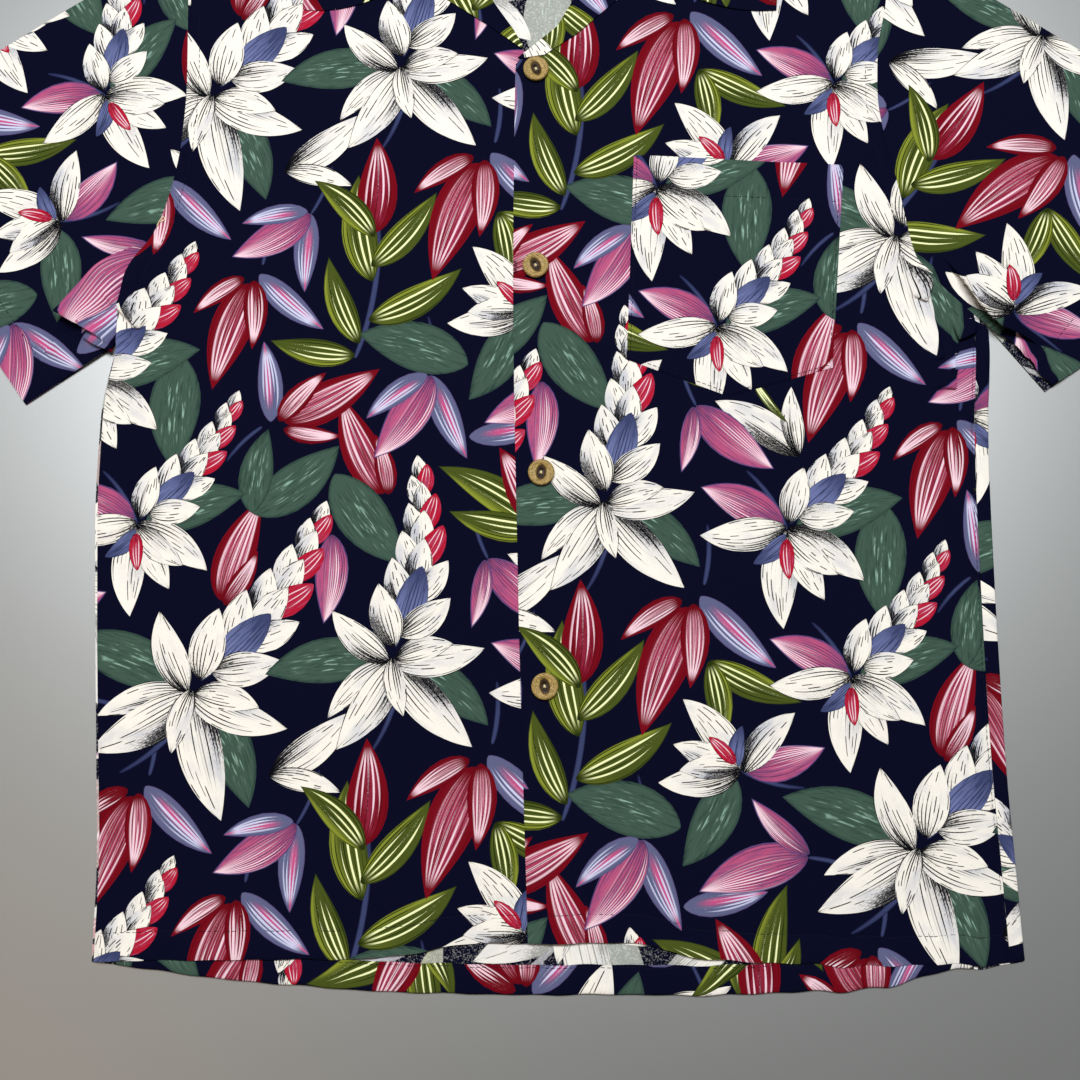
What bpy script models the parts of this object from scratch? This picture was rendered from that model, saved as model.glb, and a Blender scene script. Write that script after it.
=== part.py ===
"""A short-sleeved camp collar shirt, buttoned and laid flat with its front up.

Left and right are the wearer's: the left front is at +X and laps over the right front. The collar is
towards +Y and the cloth lies on the plane Z = 0. The tables are in millimetres on that plane, with x from
the row of buttons and y from a line across the waist. at() turns them into metres from the part's origin,
which is the middle of the laid shirt's outline, on the surface under it.
"""

import math

import bmesh
import bpy
import numpy as np

MM = 0.001
ORIGIN_X = 1.5
ORIGIN_Y = 104.6

# Cloth: each layer lies one wall and one gap above the layer under it.
WALL = 1.0
GAP = 0.3
LAYER = WALL + GAP
TURN = LAYER / 2
EDGE_TO_TURN = WALL / 2 + TURN
TURN_ANGLES = (45, 90, 135)

# Outline of the laid shirt
SHOULDER_X = 224.0
SHOULDER_Y = 389.0
NECK_X = 88.0
NECK_Y = 450.0
NECK_DROP = 20.0
CORNER_Y = -246.0
SEAM_CLEARANCE = 0.55

# The right side and armhole, from the hem up: y, x
RIGHT_EDGE = [
    (CORNER_Y, -258.5),
    (-198, -258.0),
    (-129, -261.0),
    (-39, -265.5),
    (30, -268.0),
    (75, -267.0),
    (119, -259.5),
    (145, -254.0),
    (177, -245.0),
    (211, -232.0),
    (252, -224.0),
    (290, -222.0),
    (343, -223.0),
    (389, -224.0),
]
RIGHT_UNDERARM_Y = 119.0

# The left side and armhole, from the hem up: y, x
LEFT_EDGE = [
    (CORNER_Y, 279.5),
    (-198, 277.0),
    (-129, 273.6),
    (-39, 272.0),
    (30, 271.5),
    (75, 272.3),
    (129.5, 275.0),
    (145, 261.0),
    (160, 246.0),
    (178, 232.0),
    (203, 226.5),
    (222, 223.0),
    (252, 216.0),
    (283, 212.0),
    (311, 213.0),
    (343, 219.0),
    (389, 224.0),
]
LEFT_UNDERARM_Y = 129.5
WRAP_TOP_Y = LEFT_UNDERARM_Y + GAP
SIDE_SEAM_IN = 8.5
WRAP_SHARES = (0, 0.5, 1)
RIGHT_PEEK = 1.5

# Hems, from the right side to the left: x, y
FRONT_HEM = [
    (-259, CORNER_Y),
    (-196, -244.5),
    (-126, -244.5),
    (-80, -242.0),
    (-33, -235.5),
    (53, -235.5),
    (89, -243.0),
    (142, -247.0),
    (237, -248.0),
    (280, CORNER_Y),
]
BACK_HEM = [
    (-259, CORNER_Y),
    (-203, -253.0),
    (-145, -259.0),
    (-38, -264.0),
    (94, -264.5),
    (199, -260.0),
    (225, -253.5),
    (280, CORNER_Y),
]
BACK_HEM_TURN_UP = 16.7
TURN_UP_FROM_X = -246.0
TURN_UP_TO_X = 250.0

# The fronts' inner edges, from the hem up: y, right front x, left front x. Below the neck they lap, and
# above it they run along the lapels' rolls and the neck seam.
INNER_EDGES = [
    (-235, 19.0, -7.0),
    (-30, 16.0, -13.0),
    (170, 13.5, -16.5),
    (295, 12.5, -15.5),
    (303, 2.0, -15.0),
    (308, -6.0, -8.5),
    (314.4, -12.9, -1.0),
    (328, -20.8, 13.4),
    (343, -31.2, 21.6),
    (386, -54.5, 45.4),
    (420, -71.0, 66.0),
    (450, -88.0, 88.0),
]
LAP_TO_X = 20.0
LAP_FADE = 15.0
LAP_TOP_Y = 313.0
LAP_TOP_FADE = 18.0
HEM_STEP_FROM = 1.0

# Lapels, from the top button up: roll x, roll y, edge x, edge y
LEFT_LAPEL = [
    (-14.0, 306.4, -12.4, 305.4),
    (-6.5, 312.5, 3.0, 307.8),
    (11.0, 328.0, 22.0, 321.0),
    (19.5, 343.0, 41.0, 338.3),
    (31.5, 364.5, 55.0, 350.5),
    (43.0, 385.2, 64.0, 357.5),
]
LEFT_NOTCH = (55.5, 370.0)
RIGHT_LAPEL = [
    (-10.5, 314.4, -12.2, 313.2),
    (-16.5, 325.5, -31.0, 327.0),
    (-28.6, 343.0, -55.0, 343.0),
    (-40.5, 364.5, -68.0, 352.5),
    (-52.0, 385.2, -74.0, 357.5),
]
RIGHT_NOTCH = (-64.5, 370.0)
LAPEL_ACROSS = 4
LAPEL_STEPS = 2

# Collar, from the left front end round to the middle of the back. A front station has its neck seam at the
# height seam, a back one at the distance seam from the middle. Then come the roll's x and y, the outer
# edge's x and y, the angle round the fold at the side of the neck, how far the leaf bows down, and how much
# further out the same point is on the right.
COLLAR = [
    ("front", 387.5, 43.4, 387.0, 149.5, 338.5, 0, 15.0, 9.0),
    ("front", 400.0, 47.5, 399.5, 150.5, 360.0, 0, 9.0, 8.0),
    ("front", 415.0, 54.0, 415.0, 149.0, 384.0, 0, 4.0, 6.0),
    ("front", 431.0, 61.5, 433.0, 145.0, 405.0, 0, 1.0, 4.0),
    ("front", 444.0, 69.5, 451.0, 137.0, 423.0, 0, 0.0, 2.0),
    ("side", 451.0, 78.5, 470.5, 138.5, 429.0, 45, 0.0, 0.0),
    ("side", 451.0, 78.5, 470.5, 138.5, 429.0, 90, 0.0, 0.0),
    ("side", 451.0, 78.5, 470.5, 138.5, 429.0, 135, 0.0, 0.0),
    ("back", 84.0, 72.0, 468.5, 130.0, 423.0, 180, 0.0, 0.0),
    ("back", 60.0, 51.0, 463.5, 92.0, 411.5, 180, 0.0, 0.0),
    ("back", 30.0, 26.0, 460.0, 46.0, 405.0, 180, 0.0, 0.0),
    ("back", 0.0, 0.0, 459.0, 0.0, 403.0, 180, 0.0, 0.0),
]
COLLAR_STAND_STEPS = 2
COLLAR_LEAF_STEPS = 7
COLLAR_FOLD_RADIUS = 2.6
COLLAR_OUTWARD = (0.41, 0.91)
# The back leaf lies under the back, so both body layers rise over it near the neck.
LEAF_EDGE_MIDDLE_Y = 403.0
LEAF_EDGE_RISE = 26.0
LEAF_EDGE_X = 138.5
NECK_LIFT_FADE = 44.0
NECK_LIFT_SIDE_FADE = 48.0
NECK_LIFT_MARGIN = 3.0

# Sleeves: the hem's corners and bends, from the top edge to the underarm: x, y
RIGHT_SLEEVE_HEM = [(-432.0, 252.0), (-372.5, 167.5), (-313.0, 83.2)]
LEFT_SLEEVE_HEM = [(435.0, 250.0), (394.0, 191.0), (355.0, 136.0), (330.3, 106.4), (308.0, 91.3)]
UNDERARM_CLEARANCE = 2.0
UNDERARM_CLEARANCE_FROM = 0.9
SLEEVE_STATIONS = (0, 0.045, 0.095, 0.15, 0.21, 0.28, 0.37, 0.5, 0.66, 0.83, 1)
SLEEVE_BACK = (1, 0.9, 0.78, 0.62, 0.4, 0.2, 0)
SLEEVE_BACK_CLEARANCE = 1.0

# The largest folds of the upper layers, by the underarms: x, y, direction in degrees, length, width and
# height. A fold dies out faster at its ends than across.
FOLDS = [
    (-266.0, 160.0, 52, 62, 15, 3.4),
    (-279.0, 130.0, -32, 40, 12, 2.2),
    (-240.0, 140.0, -58, 44, 12, 1.4),
    (266.0, 163.0, -50, 50, 13, 2.8),
    (287.0, 134.0, -42, 36, 12, 2.0),
    (245.0, 147.0, -62, 42, 11, 1.8),
]
FOLD_END_FALL = 2.0

# Pocket corners: x, y
POCKET_TOP_RIGHT = (58.5, 242.0)
POCKET_TOP_LEFT = (189.0, 235.5)
POCKET_BASE_RIGHT = (53.0, 111.0)
POCKET_TIP = (114.6, 88.0)
POCKET_BASE_LEFT = (178.6, 106.0)
POCKET_ACROSS = (0, 0.12, 0.3, 0.49, 0.7, 0.88, 1)
POCKET_DOWN = (0, 0.08, 0.18, 0.4, 0.65, 0.85, 1)

# Buttons, from the top down: x, y
BUTTONS = [(-2.5, 298.0), (-2.7, 170.0), (0.7, 40.5), (2.8, -88.0)]
BUTTON_RADIUS = 8.0
BUTTON_THICK = 3.0
BUTTON_STEPS = 18
# Half of its section, from the middle of the face round the rim: share of the radius and of the thickness
BUTTON_PROFILE = [
    (0.0, 0.82),
    (0.62, 0.86),
    (0.78, 1.0),
    (0.92, 0.93),
    (1.0, 0.68),
    (0.99, 0.34),
    (0.9, 0.08),
    (0.8, 0.0),
    (0.0, 0.0),
]
BUTTON_HOLE_RADIUS = 0.9
BUTTON_HOLE_SPACING = 3.4
BUTTON_HOLE_SIDES = 6
BUTTON_HOLE_DEPTH = 9.0
BUTTON_EYE_LENGTH = 9.0
BUTTON_EYE_WIDTH = 4.6
BUTTON_EYE_DEPTH = 0.9
BUTTON_EYE_SEGMENTS = 12
BUTTON_EYE_RINGS = 6
BUTTON_SHARP_ANGLE = 35
BUTTON_MERGE_DISTANCE = 0.01

# Grid lines of the panels. Across, as shares from the right side to the left, or from the inner edge to the
# side; up, as shares of the height. All panels share the levels by the armholes, where they are sewn.
BACK_ACROSS = (
    0, 0.025, 0.06, 0.115, 0.15, 0.19, 0.23, 0.267, 0.3036, 0.345, 0.39, 0.44, 0.5,
    0.56, 0.61, 0.655, 0.6964, 0.733, 0.77, 0.81, 0.85, 0.885, 0.94, 0.975, 1,
)
BACK_LOW_LEVELS = (0, 0.022, 0.05, 0.13, 0.25, 0.38, 0.5)
FRONT_ACROSS = (
    0, 0.035, 0.07, 0.125, 0.15, 0.18, 0.24, 0.32, 0.41, 0.5, 0.59, 0.68, 0.76, 0.83, 0.88, 0.92,
    0.96, 1,
)
FRONT_LOW_LEVELS = (0, 0.013, 0.028, 0.045, 0.1, 0.2, 0.3, 0.4, 0.47, 0.51, 0.545)
ARMHOLE_LEVELS = (
    0.5748, 0.5913, 0.607, 0.624, 0.643, 0.666, 0.695, 0.735, 0.7854, 0.802, 0.8219, 0.8438,
    0.866, 0.887, 0.9066, 0.926, 0.944, 0.962, 0.98, 1,
)

CLOTH_COLOUR = (0.006, 0.007, 0.026, 1)
CLOTH_ROUGHNESS = 0.8
SHELL_COLOUR = (0.42, 0.27, 0.11, 1)
SHELL_ROUGHNESS = 0.35


def at(x, y, z):
    """A plan position and height in millimetres, as metres from the part's origin."""
    return ((x - ORIGIN_X) * MM, (y - ORIGIN_Y) * MM, z * MM)


def ease(low, high, value):
    """0 below low, 1 above high, and a smooth rise between."""
    t = min(max((value - low) / (high - low), 0.0), 1.0)
    return t * t * (3 - 2 * t)


def mix(a, b, t):
    return a + (b - a) * t


def between(a, b, t):
    return (mix(a[0], b[0], t), mix(a[1], b[1], t))


def smooth(table, value, column=1):
    """The table's column at a value of its first one, by a curve that never swings past its rows."""
    keys = [row[0] for row in table]
    data = [row[column] for row in table]
    i = min(max(int(np.searchsorted(keys, value)) - 1, 0), len(keys) - 2)
    rise = [(b - a) / (q - p) for a, b, p, q in zip(data, data[1:], keys, keys[1:])]

    def slope(k):
        if k == 0 or k == len(rise):
            return rise[min(k, len(rise) - 1)]
        a, b = rise[k - 1], rise[k]
        return 0.0 if a * b <= 0 else 2 * a * b / (a + b)

    step = keys[i + 1] - keys[i]
    t = min(max((value - keys[i]) / step, 0.0), 1.0)
    return (
        (2 * t**3 - 3 * t**2 + 1) * data[i]
        + (t**3 - 2 * t**2 + t) * step * slope(i)
        + (3 * t**2 - 2 * t**3) * data[i + 1]
        + (t**3 - t**2) * step * slope(i + 1)
    )


def along(points, share):
    """The point at a share of the length of a line through points."""
    steps = [math.dist(a, b) for a, b in zip(points, points[1:])]
    marks = np.concatenate([[0], np.cumsum(steps)]) / sum(steps)
    return tuple(float(np.interp(share, marks, [p[k] for p in points])) for k in (0, 1))


def shoulder_y(x):
    return mix(NECK_Y, SHOULDER_Y, (abs(x) - NECK_X) / (SHOULDER_X - NECK_X))


def back_top_y(x):
    """The back's upper edge: two shoulders with the neck scooped out between them."""
    if abs(x) < NECK_X:
        return NECK_Y - NECK_DROP * (1 - (x / NECK_X) ** 2)
    return shoulder_y(x)


def fold_height(x, y):
    """How far the large folds raise the upper layers."""
    total = 0.0
    for fold_x, fold_y, direction, length, width, height in FOLDS:
        turn = math.radians(direction)
        run = (x - fold_x) * math.cos(turn) + (y - fold_y) * math.sin(turn)
        off = -(x - fold_x) * math.sin(turn) + (y - fold_y) * math.cos(turn)
        total += height * math.exp(-FOLD_END_FALL * (2 * run / length) ** 2 - (2 * off / width) ** 2)
    return total


def neck_lift(x, y):
    """The rise of the body over the leaf of the collar that lies under the back."""
    edge = LEAF_EDGE_MIDDLE_Y + LEAF_EDGE_RISE * (x / LEAF_EDGE_X) ** 2
    up = ease(edge - NECK_LIFT_MARGIN - NECK_LIFT_FADE, edge - NECK_LIFT_MARGIN, y)
    side = LEAF_EDGE_X + NECK_LIFT_MARGIN
    return LAYER * up * (1 - ease(side, side + NECK_LIFT_SIDE_FADE, abs(x)))


def hem_lift(x, y):
    """The rise of the fronts over the back's turned-up hem."""
    top = smooth(BACK_HEM, x) + BACK_HEM_TURN_UP
    down = 1 - ease(top + HEM_STEP_FROM, top + LAP_FADE, y)
    from_right = ease(TURN_UP_FROM_X - LAP_FADE, TURN_UP_FROM_X, x)
    return LAYER * down * from_right * (1 - ease(TURN_UP_TO_X, TURN_UP_TO_X + LAP_FADE, x))


def lap_lift(x, y):
    """The rise of the left front over the right front's edge."""
    across = 1 - ease(LAP_TO_X, LAP_TO_X + LAP_FADE, x)
    return LAYER * across * (1 - ease(LAP_TOP_Y, LAP_TOP_Y + LAP_TOP_FADE, y))


def back_level(x, y):
    """Height of the middle of the back's wall."""
    return WALL / 2 + neck_lift(x, y)


def upper_level(x, y):
    """Height of the middle of the sleeves' and the right front's upper wall."""
    return back_level(x, y) + LAYER + hem_lift(x, y) + fold_height(x, y)


def left_front_level(x, y):
    return upper_level(x, y) + lap_lift(x, y)


def material(name, colour, roughness):
    made = bpy.data.materials.new(name)
    made.use_nodes = True
    shader = made.node_tree.nodes["Principled BSDF"]
    shader.inputs["Base Color"].default_value = colour
    shader.inputs["Roughness"].default_value = roughness
    shader.inputs["Metallic"].default_value = 0.0
    return made


def place(name, mesh, collection, finish):
    """An object for the mesh, with its own material."""
    mesh.materials.clear()
    mesh.materials.append(material(f"{name}_finish", *finish))
    made = bpy.data.objects.new(name, mesh)
    collection.objects.link(made)
    return made


def cloth(name, rows, collection, closed=False, keep=None):
    """A cloth wall whose middle runs through rows of points. A closed one joins each row's end to its
    start. keep(i, j) says which cells of the grid are cloth."""
    count = len(rows[0])
    made = bmesh.new()
    grid = [[made.verts.new(at(*point)) for point in row] for row in rows]
    for i in range(len(rows) - 1):
        for j in range(count if closed else count - 1):
            if keep is None or keep(i, j):
                k = (j + 1) % count
                made.faces.new((grid[i][j], grid[i][k], grid[i + 1][k], grid[i + 1][j]))
    loose = [v for v in made.verts if not v.link_faces]
    bmesh.ops.delete(made, geom=loose, context="VERTS")
    bmesh.ops.recalc_face_normals(made, faces=made.faces)
    mesh = bpy.data.meshes.new(name)
    made.to_mesh(mesh)
    made.free()
    piece = place(name, mesh, collection, (CLOTH_COLOUR, CLOTH_ROUGHNESS))
    wall = piece.modifiers.new("wall", "SOLIDIFY")
    wall.thickness = WALL * MM
    wall.offset = 0
    mesh.shade_smooth()
    return piece


def left_seam_x(y):
    """The side seam on the left, where the front meets the back that wraps round to it."""
    return smooth(LEFT_EDGE, min(y, LEFT_UNDERARM_Y)) - SIDE_SEAM_IN


def left_front_x(y):
    """The outer edge of the left front: the side seam, then the armhole."""
    return min(smooth(LEFT_EDGE, y), left_seam_x(y))


def right_front_x(y):
    """The outer edge of the right front, which lets the back's edge show past it."""
    return smooth(RIGHT_EDGE, y) + RIGHT_PEEK


def turned(centre, outward, low, high):
    """Points round a turn of the cloth from height low to height high, past a plan point."""
    radius = (high - low) / 2
    for angle in TURN_ANGLES:
        out = radius * math.sin(math.radians(angle))
        up = low + radius * (1 - math.cos(math.radians(angle)))
        yield (centre[0] + outward[0] * out, centre[1] + outward[1] * out, up)


def make_back(collection):
    """The back, with its hem turned up inside and its left side wrapped round to the front."""

    def flat_point(across, up):
        side_y = mix(CORNER_Y, SHOULDER_Y, up)
        inset = EDGE_TO_TURN if side_y <= WRAP_TOP_Y else 0.0
        x = mix(smooth(RIGHT_EDGE, side_y), smooth(LEFT_EDGE, side_y) - inset, across)
        hem_x = mix(RIGHT_EDGE[0][1], LEFT_EDGE[0][1], across)
        hem_y = smooth(BACK_HEM, hem_x) + hem_inset(hem_x)
        top_y = back_top_y(mix(-SHOULDER_X, SHOULDER_X, across))
        return x, mix(hem_y, top_y, up)

    def hem_inset(x):
        return EDGE_TO_TURN if TURN_UP_FROM_X <= x <= TURN_UP_TO_X else 0.0

    rows = []
    hem = [flat_point(across, 0) for across in BACK_ACROSS]
    turn_up = [(x, y - EDGE_TO_TURN + BACK_HEM_TURN_UP, WALL / 2 + LAYER) for x, y in hem]
    rows.append(turn_up)
    rows.append([(x, y, WALL / 2 + LAYER) for x, y in hem])
    turns = [list(turned(point, (0, -1), WALL / 2, WALL / 2 + LAYER)) for point in hem]
    for k in reversed(range(len(TURN_ANGLES))):
        rows.append([turn[k] for turn in turns])
    first_flat = len(rows)
    flat_columns = len(BACK_ACROSS)
    levels = BACK_LOW_LEVELS + ARMHOLE_LEVELS
    for up in levels:
        row = [flat_point(across, up) for across in BACK_ACROSS]
        rows.append([(x, y, back_level(x, y)) for x, y in row])
    wrap_rows = sum(1 for up in levels if mix(CORNER_Y, SHOULDER_Y, up) <= WRAP_TOP_Y)
    last_wrap = first_flat + wrap_rows - 1
    for i, row in enumerate(rows):
        x, y, low = row[-1]
        high = upper_level(x, y) if i >= first_flat else low + LAYER
        row.extend(turned((x, y), (1, 0), low, high))
        seam = left_seam_x(y) + SEAM_CLEARANCE
        for share in WRAP_SHARES:
            wrap_x = mix(x, seam, share)
            slanted = x - wrap_x if i == last_wrap else 0.0
            row.append((wrap_x, y + slanted, upper_level(wrap_x, y)))

    def keep(i, j):
        if i < first_flat:
            if j + 1 >= flat_columns:
                return False
            return rows[0][j][0] >= TURN_UP_FROM_X and rows[0][j + 1][0] <= TURN_UP_TO_X
        return j + 1 < flat_columns or i < last_wrap

    return cloth("back", rows, collection, keep=keep)


def make_front(name, collection, inner_column, outer_x, level):
    """One front, from its inner edge to its side seam and armhole."""
    low_y, high_y = INNER_EDGES[0][0], INNER_EDGES[-1][0]

    def point(across, up):
        inner_y = mix(low_y, high_y, up)
        outer_y = mix(CORNER_Y, SHOULDER_Y, up)
        inner_x = smooth(INNER_EDGES, inner_y, inner_column)
        x = mix(inner_x, outer_x(outer_y), across)
        hem_x = mix(smooth(INNER_EDGES, low_y, inner_column), outer_x(CORNER_Y), across)
        hem_y = smooth(FRONT_HEM, hem_x)
        top_y = mix(NECK_Y, SHOULDER_Y, across)
        return x, mix(hem_y, top_y, up)

    rows = []
    for up in FRONT_LOW_LEVELS + ARMHOLE_LEVELS:
        row = [point(across, up) for across in FRONT_ACROSS]
        rows.append([(x, y, level(x, y)) for x, y in row])
    return cloth(name, rows, collection)


def make_lapel(name, collection, table, notch, level):
    """A facing turned out over its front, with its roll at the inner edge."""
    stations = []
    for a, b in zip(table, table[1:]):
        for k in range(LAPEL_STEPS):
            stations.append([mix(p, q, k / LAPEL_STEPS) for p, q in zip(a, b)])
    stations.append(table[-1])
    rows = []
    for station in stations:
        roll, edge = station[:2], station[2:]
        line = [roll, notch, edge] if station is stations[-1] else [roll, edge]
        away = [(e - r) / math.dist(roll, edge) for r, e in zip(roll, edge)]
        inset = min(EDGE_TO_TURN, math.dist(roll, edge) / 2)
        start = [r + a * inset for r, a in zip(roll, away)]
        low = level(*start)
        row = [(*start, low)]
        row.extend(turned(start, (-away[0], -away[1]), low, low + LAYER))
        for k in range(LAPEL_ACROSS + 1):
            x, y = along([start] + line[1:], k / LAPEL_ACROSS)
            row.append((x, y, level(x, y) + LAYER))
        rows.append(row)
    return cloth(name, rows, collection)


def make_sleeve(name, collection, edge, underarm_y, hem, side):
    """A sleeve: a tube pressed flat, from the armhole to the hem. side is 1 on the left, -1 on the
    right."""
    heights = [mix(CORNER_Y, SHOULDER_Y, level) for level in reversed(ARMHOLE_LEVELS)]
    heights = [y for y in heights if y > underarm_y + GAP] + [underarm_y]
    seam = [(smooth(edge, y), y) for y in heights]
    steps = np.cumsum([0] + [math.dist(a, b) for a, b in zip(seam, seam[1:])])
    shares = [float(step / steps[-1]) for step in steps]

    def ruled(share, station, clearance):
        x, y = along(seam, share)
        x += side * mix(clearance, UNDERARM_CLEARANCE, ease(UNDERARM_CLEARANCE_FROM, 1, share))
        return between((x, y), along(hem, share), station)

    rows = []
    for station in SLEEVE_STATIONS:
        front = [ruled(share, station, SEAM_CLEARANCE) for share in shares]
        back = [ruled(share, station, SLEEVE_BACK_CLEARANCE) for share in SLEEVE_BACK]
        down = [(b - t) / math.dist(front[0], front[-1]) for t, b in zip(front[0], front[-1])]
        inset = [step * EDGE_TO_TURN for step in down]
        top = (front[0][0] + inset[0], front[0][1] + inset[1])
        base = (front[-1][0] - inset[0], front[-1][1] - inset[1])
        front[0] = back[-1] = top
        front[-1] = back[0] = base
        row = [(x, y, upper_level(x, y)) for x, y in front]
        row.extend(reversed(list(turned(base, down, back_level(*base), upper_level(*base)))))
        row.extend((x, y, back_level(x, y)) for x, y in back)
        row.extend(turned(top, (-down[0], -down[1]), back_level(*top), upper_level(*top)))
        rows.append(row)
    return cloth(name, rows, collection, closed=True)


def collar_station(row, side):
    """One section of the collar, from the neck seam round the roll to the leaf's edge. side is 1 on the
    left, -1 on the right."""
    kind, seam, roll_x, roll_y, edge_x, edge_y, angle, bow, spread = row
    extra = spread if side < 0 else 0.0
    roll = (side * (roll_x + extra), roll_y)
    edge = (side * edge_x, edge_y)
    if kind == "front":
        column = 2 if side > 0 else 1
        start = (smooth(INNER_EDGES, seam, column) - side * SEAM_CLEARANCE, seam)
    elif kind == "side":
        start = (side * (NECK_X + GAP), seam)
    else:
        start = (side * seam, back_top_y(seam) + SEAM_CLEARANCE)
    turn = math.radians(angle)
    outward = (side * COLLAR_OUTWARD[0] * math.sin(turn), COLLAR_OUTWARD[1] * math.sin(turn))

    def lifted(point, radius):
        middle = back_level(*point) + TURN
        if kind != "side":
            middle += fold_height(*point)
            if side > 0 and kind == "front":
                middle += lap_lift(*point)
        return (
            point[0] + outward[0] * radius,
            point[1] + outward[1] * radius,
            middle + math.cos(turn) * radius,
        )

    leaf_radius = COLLAR_FOLD_RADIUS if kind == "side" else TURN + LAYER
    section = []
    for k in range(COLLAR_STAND_STEPS + 1):
        section.append(lifted(between(start, roll, k / COLLAR_STAND_STEPS), TURN))
    past = [(r - s) / math.dist(start, roll) for r, s in zip(roll, start)]
    inner, outer = section[-1], lifted(roll, leaf_radius)
    reach = math.dist(inner, outer) / 2
    for bend in TURN_ANGLES:
        out = reach * math.sin(math.radians(bend))
        share = (1 - math.cos(math.radians(bend))) / 2
        section.append(
            (
                mix(inner[0], outer[0], share) + past[0] * out,
                mix(inner[1], outer[1], share) + past[1] * out,
                mix(inner[2], outer[2], share),
            )
        )
    for k in range(COLLAR_LEAF_STEPS + 1):
        share = k / COLLAR_LEAF_STEPS
        x, y = between(roll, edge, share)
        section.append(lifted((x, y - bow * 4 * share * (1 - share)), leaf_radius))
    return section


def make_collar(collection):
    """Stand and leaf in one: on the fronts, round the sides of the neck and under the back."""
    left = [collar_station(row, 1) for row in COLLAR]
    right = [collar_station(row, -1) for row in COLLAR[:-1]]
    return cloth("collar", left + right[::-1], collection)


def make_pocket(collection):
    """The chest pocket, on the left front, with a pointed base."""
    rows = []
    for down in POCKET_DOWN:
        row = []
        for across in POCKET_ACROSS:
            top = between(POCKET_TOP_RIGHT, POCKET_TOP_LEFT, across)
            base = along([POCKET_BASE_RIGHT, POCKET_TIP, POCKET_BASE_LEFT], across)
            x, y = between(top, base, down)
            row.append((x, y, left_front_level(x, y) + LAYER))
        rows.append(row)
    return cloth("pocket", rows, collection)


def cutter(collection, name, mesh):
    made = bpy.data.objects.new(name, mesh)
    made.display_type = "WIRE"
    made.hide_render = True
    collection.objects.link(made)
    return made


def cut(target, tool):
    difference = target.modifiers.new(tool.name, "BOOLEAN")
    difference.operation = "DIFFERENCE"
    difference.solver = "EXACT"
    difference.object = tool


def button_mesh(collection, cutters):
    """A turned disc with an oval eye and two sewing holes."""
    profile = bmesh.new()
    points = [
        profile.verts.new((radius * BUTTON_RADIUS * MM, 0, height * BUTTON_THICK * MM))
        for radius, height in BUTTON_PROFILE
    ]
    for a, b in zip(points, points[1:]):
        profile.edges.new((a, b))
    outline = bpy.data.meshes.new("button_profile")
    profile.to_mesh(outline)
    profile.free()
    blank = bpy.data.objects.new("button_blank", outline)
    collection.objects.link(blank)
    screw = blank.modifiers.new("turned", "SCREW")
    screw.steps = BUTTON_STEPS
    screw.render_steps = BUTTON_STEPS
    screw.use_merge_vertices = True
    screw.merge_threshold = BUTTON_MERGE_DISTANCE * MM

    eye = bmesh.new()
    bmesh.ops.create_uvsphere(
        eye, u_segments=BUTTON_EYE_SEGMENTS, v_segments=BUTTON_EYE_RINGS, radius=1
    )
    scale = (BUTTON_EYE_LENGTH / 2 * MM, BUTTON_EYE_WIDTH / 2 * MM, BUTTON_EYE_DEPTH * MM)
    bmesh.ops.scale(eye, verts=eye.verts, vec=scale)
    face_height = BUTTON_PROFILE[0][1] * BUTTON_THICK * MM
    bmesh.ops.translate(eye, verts=eye.verts, vec=(0, 0, face_height))
    eye_mesh = bpy.data.meshes.new("button_eye")
    eye.to_mesh(eye_mesh)
    eye.free()
    cut(blank, cutter(cutters, "button_eye", eye_mesh))

    holes = bmesh.new()
    for side in (-1, 1):
        made = bmesh.ops.create_cone(
            holes,
            cap_ends=True,
            segments=BUTTON_HOLE_SIDES,
            radius1=BUTTON_HOLE_RADIUS * MM,
            radius2=BUTTON_HOLE_RADIUS * MM,
            depth=BUTTON_HOLE_DEPTH * MM,
        )
        shift = (side * BUTTON_HOLE_SPACING / 2 * MM, 0, 0)
        bmesh.ops.translate(holes, verts=made["verts"], vec=shift)
    holes_mesh = bpy.data.meshes.new("button_holes")
    holes.to_mesh(holes_mesh)
    holes.free()
    cut(blank, cutter(cutters, "button_holes", holes_mesh))

    bpy.context.view_layer.update()
    finished = bpy.data.meshes.new_from_object(
        blank.evaluated_get(bpy.context.evaluated_depsgraph_get())
    )
    bpy.data.objects.remove(blank)
    return finished


def make_buttons(collection, cutters):
    pattern = button_mesh(collection, cutters)
    for number, (x, y) in enumerate(BUTTONS, start=1):
        name = f"button_{number}"
        button = place(name, pattern.copy(), collection, (SHELL_COLOUR, SHELL_ROUGHNESS))
        button.location = at(x, y, left_front_level(x, y) + WALL / 2 + GAP)
        button.data.shade_smooth()
        button.data.set_sharp_from_angle(angle=math.radians(BUTTON_SHARP_ANGLE))


def clear_scene():
    for item in list(bpy.data.objects):
        bpy.data.objects.remove(item, do_unlink=True)


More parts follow.
